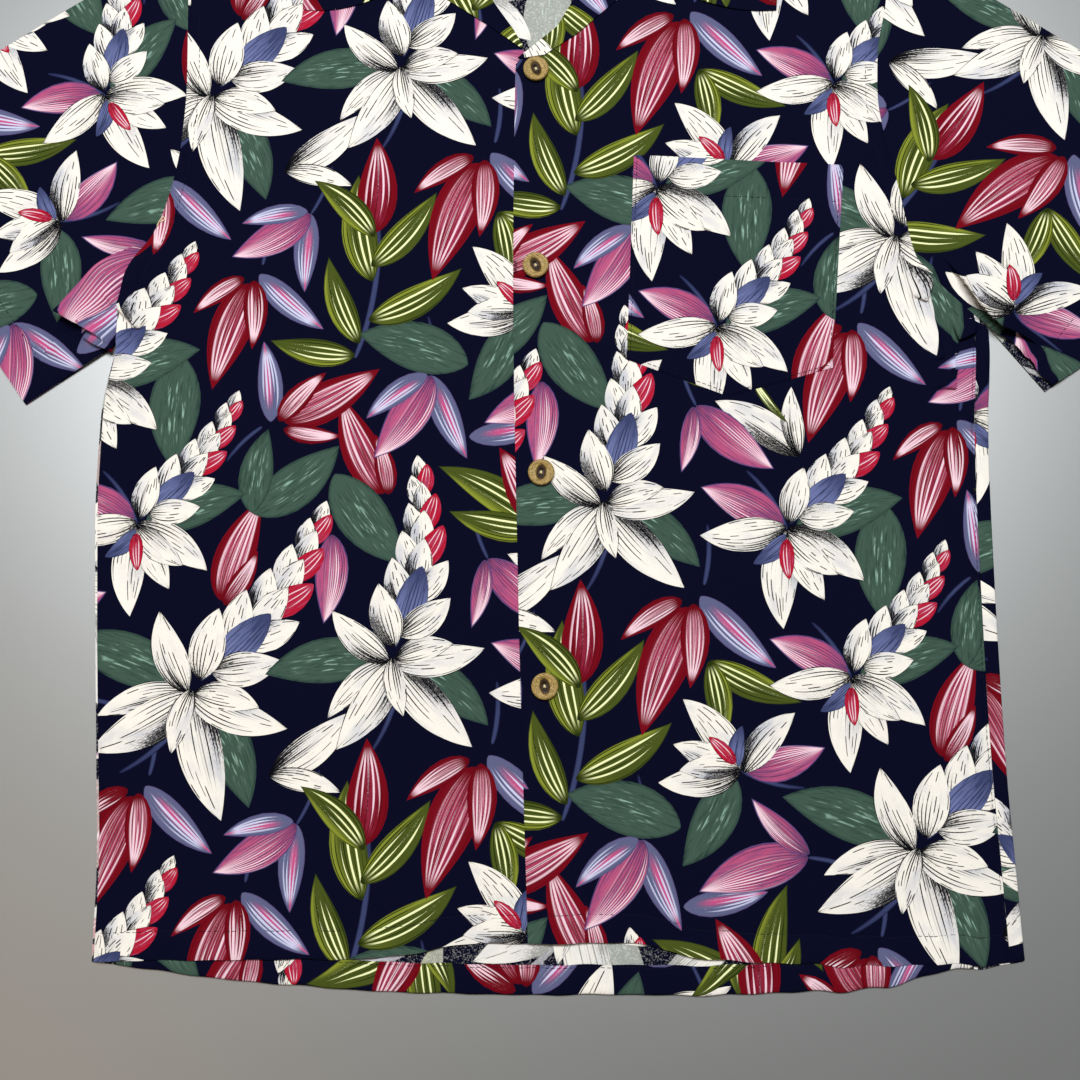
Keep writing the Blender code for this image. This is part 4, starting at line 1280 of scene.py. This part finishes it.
# What the wearer's right, -1, and left, 1, have
SIDES = {-1: "right", 1: "left"}
EDGES = {-1: RIGHT_EDGE, 1: LEFT_EDGE}
UNDERARM_YS = {-1: RIGHT_UNDERARM_Y, 1: LEFT_UNDERARM_Y}
INNER_COLUMNS = {-1: 1, 1: 2}
SLEEVE_HEMS = {-1: RIGHT_SLEEVE_HEM, 1: LEFT_SLEEVE_HEM}
LAPELS = {-1: (RIGHT_LAPEL, RIGHT_NOTCH), 1: (LEFT_LAPEL, LEFT_NOTCH)}
LEVELS = {-1: upper_level, 1: left_front_level}


def curve(edge, low, high):
    """A line along an edge that is given as a function, as pairs of place and value."""
    places = np.linspace(low, high, max(2, round((high - low) / LINE_STEP) + 1))
    return list(zip(places.tolist(), edge(places).tolist()))


def curve_up(edge, low, high):
    """A line up an edge that is given as x at each y."""
    return [(x, y) for y, x in curve(edge, low, high)]


def rows_near(lines, offsets, sign=1):
    return [beside(line, offset * sign) for line in lines for offset in offsets]


def right_side_x(y):
    peek = RIGHT_PEEK * (1 - ease(RIGHT_UNDERARM_Y - 12.0, RIGHT_UNDERARM_Y + 4.0, y))
    return smooth(RIGHT_EDGE, y) + peek


def left_seam_x(y):
    seam = smooth(LEFT_EDGE, np.minimum(y, LEFT_UNDERARM_Y)) - SIDE_SEAM_IN
    return np.minimum(smooth(LEFT_EDGE, y), seam)


def shoulder(side):
    return even_line([(side * SHOULDER_X, SHOULDER_Y), (side * NECK_X, NECK_Y)], LINE_STEP)


# The stitched end of the second buttonhole, which shows at the edge of the lap
HOLE_END_X = -15.0
HOLE_END_HALF = 1.3
HOLE_END_ROWS = np.arange(165.2, 173.0, 0.85).tolist()


def make_front(side, finishes, thread):
    """A front: its hem and armhole stitched, its side and armhole going down to their seams."""
    outer_x, underarm = left_seam_x if side > 0 else right_side_x, UNDERARM_YS[side]
    inner_x = float(smooth(INNER_EDGES, INNER_EDGES[0][0], INNER_COLUMNS[side]))
    hem = curve(lambda x: hem_y(FRONT_HEM, x), *sorted((inner_x, float(outer_x(np.array(CORNER_Y))))))
    inner_low = float(hem_y(FRONT_HEM, inner_x))
    inner = curve_up(lambda y: smooth(INNER_EDGES, y, INNER_COLUMNS[side]), inner_low, NECK_Y)
    seam, armhole = curve_up(outer_x, CORNER_Y, underarm), curve_up(outer_x, underarm, SHOULDER_Y)
    outer = seam + armhole[1:] + shoulder(side)[1:]
    outline = turn_outline([hem, outer, inner[::-1]] if side > 0 else [hem, inner, outer[::-1]])
    armhole_stitch, hem_stitch = beside(armhole, side * ARMHOLE_STITCH), beside(hem, FRONT_HEM_STITCH)
    side_stitch = [beside(seam, STITCH_IN)] if side > 0 else []
    stitched = [armhole_stitch, hem_stitch, *side_stitch]

    def place(x, y):
        z = LEVELS[side](x, y)
        z = sunk(x, y, z, [(armhole, SEAM), (seam, SIDE_SEAM), (inner, EDGE), (hem, EDGE)], stitched)
        lean = flap_relief(x, y)[1]
        return np.column_stack([x + lean[:, 0], y + lean[:, 1], clear_of_back(x, y, z)])

    rows = rows_near([hem], NEAR_EDGE) + rows_near(stitched, NEAR_STITCH)
    rows += rows_near([seam, armhole], NEAR_EDGE, side) + rows_near([inner], NEAR_EDGE, -side)
    node = f"front_{SIDES[side]}"
    make_cloth(node, outline, place, finishes, rows)
    trimmed = [armhole_stitch[2:-1], hem_stitch[1:-1]] + [line[6:] for line in side_stitch]
    if side > 0:
        trimmed += [[(HOLE_END_X - HOLE_END_HALF, y), (HOLE_END_X + HOLE_END_HALF, y)] for y in HOLE_END_ROWS]
    make_stitches(node, trimmed, place, thread)


# The back's turned-up hem is below its fold on the flat layout, and its wrapped side is past its fold
HEM_STRIP = TURN_LENGTH + BACK_HEM_TURN_UP - TURN_RADIUS
SIDE_WRAP = TURN_LENGTH + SIDE_SEAM_IN - TURN_RADIUS
WRAP_TOP_Y = LEFT_UNDERARM_Y + 0.3
WRAP_INSET = 0.15
WRAP_FROM_X = 200.0
FROM_FOLD = 0.01
TURN_UP_SLACK = 1e-3


def make_back(finishes, thread):
    """The back, right side down, its hem turned up inside and its left side wrapped round to the front."""
    radius = TURN_RADIUS

    def fold_x(y):
        return smooth(LEFT_EDGE, y) - np.where(y <= WRAP_TOP_Y + SIDE_SEAM_IN, radius, 0.0)

    def fold_y(x):
        return hem_y(BACK_HEM, x) + radius

    def place(u, v):
        x, y = u, v
        z = sunk(x, y, back_level(x, y), [(right_side, UNDER_SEAM)])
        below = fold_y(u) - v
        along_hem = (u >= TURN_UP_FROM_X - TURN_UP_SLACK) & (u <= TURN_UP_TO_X + TURN_UP_SLACK)
        turned = (below > 0) & along_hem & (v < CORNER_Y)
        angle = np.clip(below / radius, 0, math.pi)
        past = np.maximum(below - TURN_LENGTH, 0)
        y = np.where(turned, fold_y(u) - radius * np.sin(angle) + past, y)
        z = np.where(turned, radius * (1 - np.cos(angle)), z)
        z = np.where(turned & (past > 0), sunk(x, y, z, [], [stitch_in_place]), z)
        beyond = u - fold_x(v)
        up_side = (v <= WRAP_TOP_Y + SIDE_SEAM_IN + FROM_FOLD) & (v > CORNER_Y - 1.0)
        wrapped = (beyond > 0) & up_side & (u > WRAP_FROM_X)
        angle = np.clip(beyond / radius, 0, math.pi)
        past = np.maximum(beyond - TURN_LENGTH, 0)
        wrap_x = fold_x(v) + radius * np.sin(angle) - past
        width, depth = SIDE_SEAM
        to_seam = SIDE_SEAM_IN - radius
        top = upper_level(wrap_x, v) - depth * ease(to_seam - width, to_seam, past)
        top = clear_of_back(wrap_x, v, top)
        z = np.where(wrapped, top * (1 - np.cos(angle)) / 2, z)
        return np.column_stack([np.where(wrapped, wrap_x, x), y, z])

    hem = curve(fold_y, TURN_UP_FROM_X, TURN_UP_TO_X)
    left_corner = curve(lambda x: hem_y(BACK_HEM, x), TURN_UP_TO_X, float(fold_x(np.array(CORNER_Y))))
    wrap_edge = curve_up(lambda y: fold_x(y) + SIDE_WRAP - WRAP_INSET, CORNER_Y, WRAP_TOP_Y + SIDE_SEAM_IN)
    armhole = curve_up(lambda y: smooth(LEFT_EDGE, y), WRAP_TOP_Y, SHOULDER_Y)
    neck = curve(neck_y, -NECK_X, NECK_X)[::-1]
    right_side = curve_up(lambda y: smooth(RIGHT_EDGE, y), CORNER_Y, SHOULDER_Y)
    right_corner = [(RIGHT_EDGE[0][1], CORNER_Y), (TURN_UP_FROM_X, float(hem_y(BACK_HEM, TURN_UP_FROM_X)))]
    low_edges = [right_corner, [(x, y - HEM_STRIP) for x, y in hem], left_corner, wrap_edge]
    outline = turn_outline([*low_edges, armhole, shoulder(1), neck, shoulder(-1)[::-1], right_side[::-1]])
    strip_stitch = [(x, y - HEM_STRIP + STITCH_IN) for x, y in hem]
    stitch_in_place = [(x, y - radius + BACK_HEM_TURN_UP - STITCH_IN) for x, y in hem]
    wrap_line = curve_up(fold_x, CORNER_Y + 1.0, WRAP_TOP_Y)
    bends = [[(x, y - step) for x, y in hem[1:-1]] for step in TURN_STEPS]
    bends += [[(x + step, y) for x, y in wrap_line] for step in TURN_STEPS]
    rows = rows_near([right_side], NEAR_EDGE, -1)
    rows += [[(x + SIDE_WRAP - step, y) for x, y in wrap_line] for step in NEAR_EDGE]
    rows += [[(x, y + step) for x, y in strip_stitch] for step in NEAR_STITCH]
    make_cloth("back", outline, place, finishes, rows, bends, flip=True)
    make_stitches("back", [strip_stitch[1:-1]], place, thread, flip=True)


# On the left sleeve the upper layer's lower edge is drawn back, so that the inside of the lower layer shows
DRAWN_BACK = {-1: 0.0, 1: 4.6}
DRAWN_FROM = (0.02, 0.3)
DRAWN_REACH = 26.0
# Its waves: length, share of the reach
DRAWN_WAVES = [(9.0, 0.05), (14.0, 0.1), (23.0, 0.12)]
DRAWN_RISE = 0.3
SLEEVE_GAP = 0.06


def make_sleeve(side, finishes, thread):
    """A sleeve: folded along its top edge and sewn along the underarm."""
    hem = SLEEVE_HEMS[side]
    armhole = curve_up(lambda y: smooth(EDGES[side], y) + side * SLEEVE_GAP, UNDERARM_YS[side], SHOULDER_Y)
    armhole = armhole[::-1]
    armhole[-1] = (armhole[-1][0] + side * UNDERARM_CLEARANCE, armhole[-1][1])
    low_edge, hem_line = even_line([armhole[-1], hem[-1]], LINE_STEP), even_line(hem[::-1], LINE_STEP)
    low_start, low_length = np.array(low_edge[0]), math.dist(low_edge[0], low_edge[-1])
    low_run = (np.array(low_edge[-1]) - low_start) / low_length
    start, end = np.array(armhole[0]), np.array(hem[0])
    run = (end - start) / np.linalg.norm(end - start)
    inward = np.array([run[1], -run[0]]) * side
    axis = start + inward * TURN_RADIUS
    stitch = beside(hem_line, side * SLEEVE_HEM_STITCH)

    def unfolded(points):
        """Where points of the lower layer are on the flat layout."""
        made = np.array(points, float)
        depth = (made - axis) @ inward
        return (made - np.outer(2 * depth + TURN_LENGTH, inward)).tolist()

    def place(u, v):
        flat = np.column_stack([u, v])
        depth = (flat - axis) @ inward
        angle = np.clip(-depth / TURN_RADIUS, 0, math.pi)
        past = np.maximum(-depth - TURN_LENGTH, 0)
        in_plan = np.where(depth >= 0, depth, past - TURN_RADIUS * np.sin(angle))
        x, y = (flat - np.outer(depth, inward) + np.outer(in_plan, inward)).T
        edges = [(armhole, SEAM), (low_edge, SIDE_SEAM), (hem_line, EDGE)]
        top = sunk(x, y, upper_level(x, y), edges, [stitch])
        low = sunk(x, y, back_level(x, y), [(low_edge, UNDER_SEAM)])
        share = ((x - low_start[0]) * low_run[0] + (y - low_start[1]) * low_run[1]) / low_length
        drawn = ease(*DRAWN_FROM, share) * (1 - ease(0.0, DRAWN_REACH, distance_to(x, y, low_edge)))
        waves = sum(size * np.sin(2 * math.pi * share * low_length / wave) for wave, size in DRAWN_WAVES)
        drawn = drawn * DRAWN_BACK[side] * (1 + waves)
        lean = flap_relief(x, y)[1] + np.outer(drawn, (-low_run[1], low_run[0]))
        top = clear_of_back(x, y, top) + drawn * DRAWN_RISE
        x, y = np.array([x, y]) + lean.T * (depth >= 0)
        return np.column_stack([x, y, mix(top, low, (1 - np.cos(angle)) / 2)])

    front = armhole + low_edge[1:] + hem_line[1:]
    outline = turn_outline([front, unfolded(front[::-1])])
    if side < 0:
        outline = outline[::-1]
    shares = np.arange(1, math.dist(start, end) - 1, LINE_STEP)
    bends = [[tuple(axis + run * s - inward * step) for s in shares] for step in TURN_STEPS]
    near = rows_near([armhole], NEAR_EDGE, -side)
    near += rows_near([low_edge, hem_line], [step * sign for step in NEAR_EDGE for sign in (-1, 1)], side)
    near += rows_near([stitch], NEAR_STITCH)
    node = f"sleeve_{SIDES[side]}"
    make_cloth(node, outline, place, finishes, near + [unfolded(row) for row in near], bends)
    make_stitches(node, [stitch[3:-8], unfolded(stitch[3:-8])], place, thread)


def make_pocket(finishes, thread):
    """The chest pocket: stitched down all round but for its hemmed top edge."""
    corners = [POCKET_TOP_RIGHT, POCKET_BASE_RIGHT, POCKET_TIP, POCKET_BASE_LEFT, POCKET_TOP_LEFT]
    seam, mouth = even_line(corners, LINE_STEP), even_line([POCKET_TOP_LEFT, POCKET_TOP_RIGHT], LINE_STEP)
    hem_stitch, edge_stitch = beside(mouth, POCKET_HEM), inset_line(corners, POCKET_STITCH)

    def place(x, y):
        z = left_front_level(x, y) + LAYER
        z = sunk(x, y, z, [(seam, POCKET_SEAM), (mouth, EDGE)], [hem_stitch, edge_stitch])
        return np.column_stack([x, y, z])

    rows = rows_near([mouth, seam], NEAR_EDGE) + rows_near([hem_stitch], NEAR_STITCH)
    make_cloth("pocket", turn_outline([seam, mouth]), place, finishes, rows)
    make_stitches("pocket", [hem_stitch[1:-1], edge_stitch], place, thread)


def inset_line(corners, distance):
    """A line with sharp corners, moved to its left, its corners kept sharp."""
    made = []
    points = [np.array(corner, float) for corner in corners]
    for k, point in enumerate(points):
        lefts = []
        for a, b in ((k - 1, k), (k, k + 1)):
            if 0 <= a and b < len(points):
                run = (points[b] - points[a]) / np.linalg.norm(points[b] - points[a])
                lefts.append(np.array([-run[1], run[0]]))
        mean = sum(lefts) / len(lefts)
        made.append(tuple(point + mean * distance / float(mean @ mean)))
    return even_line(made, LINE_STEP)


LAPEL_STEP = 2.0
LAPEL_CLOTH = 0.7


def make_lapel(side, finishes):
    """A facing turned out as a lapel, going down to the front along its roll."""
    table, notch = LAPELS[side]
    roll, edge = [row[:2] for row in table], [row[2:] for row in table]
    roll_line, edge_line = (even_line(line, LAPEL_STEP) for line in (roll, [roll[-1], notch, *edge[::-1]]))
    outline = turn_outline([roll_line, edge_line])[::-side]

    def place(x, y):
        z = sunk(x, y, LEVELS[side](x, y) + LAYER, [(roll_line, LAPEL_ROLL), (edge_line, EDGE)])
        return np.column_stack([x, y, z])

    rows = rows_near([roll_line], NEAR_ROLL, -side)
    make_cloth(f"lapel_{SIDES[side]}", outline, place, finishes, rows, thickness=LAPEL_CLOTH)


COLLAR_CLOTH = 0.9
COLLAR_SEAM_GAP = 0.55
COLLAR_SIDE_GAP = 0.3
LEAF_RADIUS = LAYER * 1.5
COLLAR_STAND_STEPS = 3
COLLAR_LEAF_STEPS = 9
COLLAR_TURN_ANGLES = (45, 90, 135)


def neck_y(x):
    return NECK_Y - NECK_DROP * (1 - (x / NECK_X) ** 2)


def back_top_y(x):
    slope = mix(NECK_Y, SHOULDER_Y, (abs(x) - NECK_X) / (SHOULDER_X - NECK_X))
    return neck_y(x) if abs(x) < NECK_X else slope


def collar_section(row, side):
    """The middle of the collar's wall in a section, from the neck seam round the roll to the leaf's edge."""
    kind, seam, roll_x, roll_y, edge_x, edge_y, angle, bow, spread = row
    roll = np.array([side * (roll_x + (spread if side < 0 else 0.0)), roll_y])
    edge = np.array([side * edge_x, edge_y])
    if kind == "front":
        inner_x = float(smooth(INNER_EDGES, seam, INNER_COLUMNS[side]))
        start = np.array([inner_x - side * COLLAR_SEAM_GAP, seam])
    elif kind == "side":
        start = np.array([side * (NECK_X + COLLAR_SIDE_GAP), seam])
    else:
        start = np.array([side * seam, back_top_y(seam) + COLLAR_SEAM_GAP])
    turn = math.radians(angle)
    outward = np.array([side * COLLAR_OUTWARD[0], COLLAR_OUTWARD[1]]) * math.sin(turn)

    def lifted(point, radius):
        x, y = (np.array([value]) for value in point)
        middle = back_level(x, y)[0] + (WALL + LAYER) / 2
        if side > 0 and kind == "front":
            middle += lap_lift(x, y)[0]
        return (*(point + outward * radius), middle + math.cos(turn) * radius)

    leaf_radius = COLLAR_FOLD_RADIUS if kind == "side" else LEAF_RADIUS
    stand = [k / COLLAR_STAND_STEPS for k in range(COLLAR_STAND_STEPS + 1)]
    section = [lifted(mix(start, roll, share), LAYER / 2) for share in stand]
    past = (roll - start) / np.linalg.norm(roll - start)
    inner, outer = np.array(section[-1]), np.array(lifted(roll, leaf_radius))
    reach = np.linalg.norm(outer - inner) / 2
    for bend in COLLAR_TURN_ANGLES:
        around = math.radians(bend)
        share = (1 - math.cos(around)) / 2
        section.append(mix(inner, outer, share) + np.array([*past, 0.0]) * reach * math.sin(around))
    for k in range(COLLAR_LEAF_STEPS + 1):
        share = k / COLLAR_LEAF_STEPS
        point = mix(roll, edge, share) - np.array([0.0, bow * 4 * share * (1 - share)])
        section.append(lifted(point, leaf_radius))
    return [tuple(point) for point in section]


def spline_weights(value, count):
    """The four neighbours of a place between rows, and how much each weighs in a curve through them."""
    value = np.clip(value, 0, count - 1 - TINY)
    i = value.astype(int)
    t = value - i
    doubled = (-t + 2 * t**2 - t**3, 2 - 5 * t**2 + 3 * t**3, t + 4 * t**2 - 3 * t**3, t**3 - t**2)
    return [np.clip(i + k - 1, 0, count - 1) for k in range(4)], [weight / 2 for weight in doubled]


def make_collar(finishes):
    """Stand and leaf in one, printed on both faces."""
    sections = [collar_section(row, 1) for row in COLLAR]
    sections += [collar_section(row, -1) for row in COLLAR[:-1]][::-1]
    grid = np.array(sections)
    across = np.linalg.norm(np.diff(grid, axis=1), axis=2)
    heights = np.concatenate([np.zeros((len(grid), 1)), np.cumsum(across, axis=1)], axis=1)
    mean_line = grid[:, COLLAR_STAND_STEPS + 2:].mean(axis=1)
    lengths = np.concatenate([[0], np.cumsum(np.linalg.norm(np.diff(mean_line, axis=0), axis=1))])
    marks = np.arange(len(grid))
    columns = np.arange(grid.shape[1])

    def place(u, v):
        station = np.interp(u, lengths, marks)
        i = np.clip(station.astype(int), 0, len(grid) - 2)
        row_heights = mix(heights[i], heights[i + 1], (station - i)[:, None])
        cell = np.array([np.interp(value, row, columns) for value, row in zip(v, row_heights)])
        rows, row_weights = spline_weights(station, len(grid))
        cells, cell_weights = spline_weights(cell, len(columns))
        total = np.zeros((len(u), 3))
        for r, a in zip(rows, row_weights):
            for c, b in zip(cells, cell_weights):
                total += (a * b)[:, None] * grid[r, c]
        return total

    steps = np.linspace(0, lengths[-1], round(lengths[-1] / LINE_STEP))
    widths = np.interp(steps, lengths, heights[:, -1])
    seam = [(float(u), 0.0) for u in steps]
    leaf_edge = [(float(u), float(w)) for u, w in zip(steps, widths)]
    ends = [even_line([seam[-1], leaf_edge[-1]], LINE_STEP), even_line([leaf_edge[0], seam[0]], LINE_STEP)]
    outline = turn_outline([seam, ends[0], leaf_edge[::-1], ends[1]])
    rows = []
    for column in range(COLLAR_STAND_STEPS, COLLAR_STAND_STEPS + len(COLLAR_TURN_ANGLES) + 2):
        rows.append([(float(u), float(np.interp(u, lengths, heights[:, column]))) for u in steps])
    make_cloth("collar", outline, place, finishes, rows, thickness=COLLAR_CLOTH, middle=True)


# Buttons

BUTTON_TURNS = 56
# Half of a button's section, from the middle of the face round the rim: share of the radius, of the thickness
BUTTON_PROFILE = [
    (0.05, 0.80), (0.09, 0.80), (0.13, 0.80), (0.17, 0.80), (0.21, 0.80), (0.25, 0.80), (0.29, 0.805),
    (0.33, 0.81), (0.38, 0.815), (0.44, 0.82), (0.50, 0.83), (0.60, 0.845), (0.68, 0.88), (0.74, 0.95),
    (0.80, 0.995), (0.86, 0.99), (0.91, 0.95), (0.95, 0.88), (0.98, 0.77), (1, 0.62), (1, 0.40),
    (0.975, 0.2), (0.93, 0.07), (0.86, 0),
]
EYE_LENGTH = 10.2
EYE_WIDTH = 6.2
EYE_DEPTH = 1.1
FACE_FROM = 0.7
FACE_SHARE = 0.8
HOLE_RADIUS = 0.95
HOLE_DEPTH = 1.0
HOLE_SPACING = 3.4
BUTTON_RISE = 0.3
# How far each button is turned, in degrees
BUTTON_TURNED = (112, 116, 84, 100)

# The thread of the buttons
THREAD_RADIUS = 0.24
THREAD_POINTS = 13
# A strand's reach as a share of the holes' spacing, its height, how deep its ends go, its arch and its slant
THREAD_REACH = 0.27
THREAD_LIFT = 0.35
THREAD_PLUNGE = 1.1
THREAD_ARCH = 0.25
THREAD_SLANT = 0.3
# Where the strands lie between a button's holes, to the side of the line through them
THREAD_STRANDS = (-0.32, 0.0, 0.32)


def spun(x, y, degrees):
    turn = math.radians(degrees)
    return x * math.cos(turn) - y * math.sin(turn), x * math.sin(turn) + y * math.cos(turn)


def make_button(number, x, y, finish, thread):
    """A turned shell button with an oval eye, two holes and its thread."""
    turned = BUTTON_TURNED[number - 1]
    base = float(left_front_level(np.array([x]), np.array([y]))[0]) + BUTTON_RISE
    made = bmesh.new()
    eye = made.verts.layers.float_vector.new("eye")

    def vertex(radius, angle, height):
        px, py = radius * math.cos(angle), radius * math.sin(angle)
        on_face = height > FACE_FROM * BUTTON_THICK
        oval = (2 * px / EYE_LENGTH) ** 2 + (2 * py / EYE_WIDTH) ** 2
        depth = max(0.0, 1 - oval) ** 0.5 * on_face
        hole = min(math.hypot(px - s * HOLE_SPACING / 2, py) for s in (-1, 1))
        pit = float(hole < HOLE_RADIUS and on_face)
        spun_x, spun_y = spun(px, py, turned)
        v = made.verts.new(at((x + spun_x, y + spun_y, base + height - EYE_DEPTH * depth - HOLE_DEPTH * pit)))
        # How much of the eye's dark colour a vertex takes, and whether it lies in a hole, where painted shade
        # goes
        v[eye] = (min(1.0, depth * 2.0), pit, 0.0)
        return v

    rings = [
        [
            vertex(share * BUTTON_RADIUS, 2 * math.pi * k / BUTTON_TURNS, height * BUTTON_THICK)
            for k in range(BUTTON_TURNS)
        ]
        for share, height in BUTTON_PROFILE
    ]
    face = vertex(0.0, 0.0, BUTTON_PROFILE[0][1] * BUTTON_THICK)
    under = vertex(0.0, 0.0, 0.0)
    close_rings(made, rings, face, under)
    name = f"button_shell_{number}"
    add_piece(name, smooth_mesh(name, made), [finish], f"button_{number}")
    strands = []
    for k, off in enumerate(THREAD_STRANDS):
        strands.append([])
        for share in np.linspace(-1, 1, THREAD_POINTS):
            rise = FACE_SHARE * BUTTON_THICK - EYE_DEPTH + THREAD_LIFT - THREAD_PLUNGE * abs(share) ** 6
            rise += THREAD_ARCH * math.cos(share * math.pi / 2)
            aside = off * (1 + THREAD_SLANT * k) * (1 - THREAD_SLANT * share)
            spun_x, spun_y = spun(share * HOLE_SPACING * THREAD_REACH, aside, turned)
            strands[-1].append((x + spun_x, y + spun_y, base + rise))
    add_thread(f"button_thread_{number}", THREAD_RADIUS, strands, thread, 3)


# A loose end of thread that lies on the right sleeve: x, y
LOOSE_THREAD = [
    (-237, 196), (-236.0, 198.4), (-234.6, 200.9), (-233.4, 202.0), (-232.4, 201.4), (-232.6, 200.0),
    (-233.8, 199.0), (-235.2, 198.8),
]
LOOSE_RADIUS = 0.3


def add_thread(name, radius, routes, finish, resolution):
    """Round thread along routes of points."""
    curves = bpy.data.curves.new(name, "CURVE")
    curves.dimensions = "3D"
    curves.bevel_depth = radius * MM
    curves.bevel_resolution = resolution
    curves.use_fill_caps = True
    for route in routes:
        strand = curves.splines.new("POLY")
        strand.points.add(len(route) - 1)
        for point, place in zip(strand.points, at(route)):
            point.co = (*place, 1.0)
    add_piece(name, curves, [finish])


def make_loose_thread(thread):
    xs, ys = np.array(LOOSE_THREAD).T
    route = np.column_stack([xs, ys, upper_level(xs, ys) + LOOSE_RADIUS])
    add_thread("loose_thread", LOOSE_RADIUS, [route], thread, 4)


# The stage

FLOOR_HALF = 3.0
FLOOR_DROP = 0.0002
FLOOR_IOR = 1.8
LENS = 50.0
SENSOR = 36.0
CAMERA_PLACE = (-0.0015, -0.2376, 0.8920)
CAMERA_TARGET = (-0.0015, -0.1046, 0.0)
# Name, place, target, size, power, colour
LIGHTS = [
    ("window_light", (-0.05, 0.78, 2.4), (0.0, 0.1, 0.0), (1.6, 0.8), 95.0, (0.94, 0.98, 1.0)),
    ("fill_light", (-0.9, -0.75, 1.3), (-0.3, -0.15, 0.0), (1.0, 1.0), 4.0, (1.0, 0.74, 0.5)),
]
ROOM_COLOUR = (0.9, 0.92, 1.0, 1.0)
ROOM_STRENGTH = 0.12


def make_floor():
    made, tree, shader = new_finish("floor_grey", 0.4, 1.0)
    shader.inputs["Base Color"].default_value = colour(92, 92, 89)
    shader.inputs["IOR"].default_value = FLOOR_IOR
    bpy.ops.mesh.primitive_plane_add(size=2 * FLOOR_HALF, location=(0, 0, -FLOOR_DROP))
    floor = bpy.context.object
    floor.name = "floor"
    floor.data.materials.append(made)


def add_aimed(name, data, place, target):
    made = bpy.data.objects.new(name, data)
    made.location = place
    made.rotation_euler = (Vector(target) - Vector(place)).to_track_quat("-Z", "Y").to_euler()
    bpy.context.scene.collection.objects.link(made)
    return made


def make_stage():
    make_floor()
    for name, place, target, size, power, shade in LIGHTS:
        lamp = bpy.data.lights.new(name, "AREA")
        lamp.shape = "RECTANGLE"
        lamp.size, lamp.size_y = size
        lamp.energy = power
        lamp.color = shade
        add_aimed(name, lamp, place, target)
    world = bpy.data.worlds.new("room")
    world.use_nodes = True
    world.node_tree.nodes["Background"].inputs["Color"].default_value = ROOM_COLOUR
    world.node_tree.nodes["Background"].inputs["Strength"].default_value = ROOM_STRENGTH
    bpy.context.scene.world = world
    lens = bpy.data.cameras.new("photo_camera")
    lens.lens = LENS
    lens.sensor_width = SENSOR
    bpy.context.scene.camera = add_aimed("photo_camera", lens, CAMERA_PLACE, CAMERA_TARGET)
    bpy.context.scene.view_settings.view_transform = "Standard"


def main():
    make_stage()
    faces = (cloth_finish("printed_cloth"), cloth_finish("printed_cloth_inside", wrong_side=True))
    navy_thread = thread_finish("navy_thread", colour(8, 9, 26), colour(22, 24, 44))
    pale_thread = thread_finish("pale_thread", colour(204, 184, 138), colour(232, 216, 176))
    make_back(faces, navy_thread)
    for side in SIDES:
        make_front(side, faces, navy_thread)
    for side in SIDES:
        make_sleeve(side, faces, navy_thread)
    for side in SIDES:
        make_lapel(side, faces)
    make_collar(faces[:1])
    make_pocket(faces, navy_thread)
    make_loose_thread(pale_thread)
    shell = shell_finish()
    for number, (x, y) in enumerate(BUTTONS, start=1):
        make_button(number, x, y, shell, pale_thread)


main()
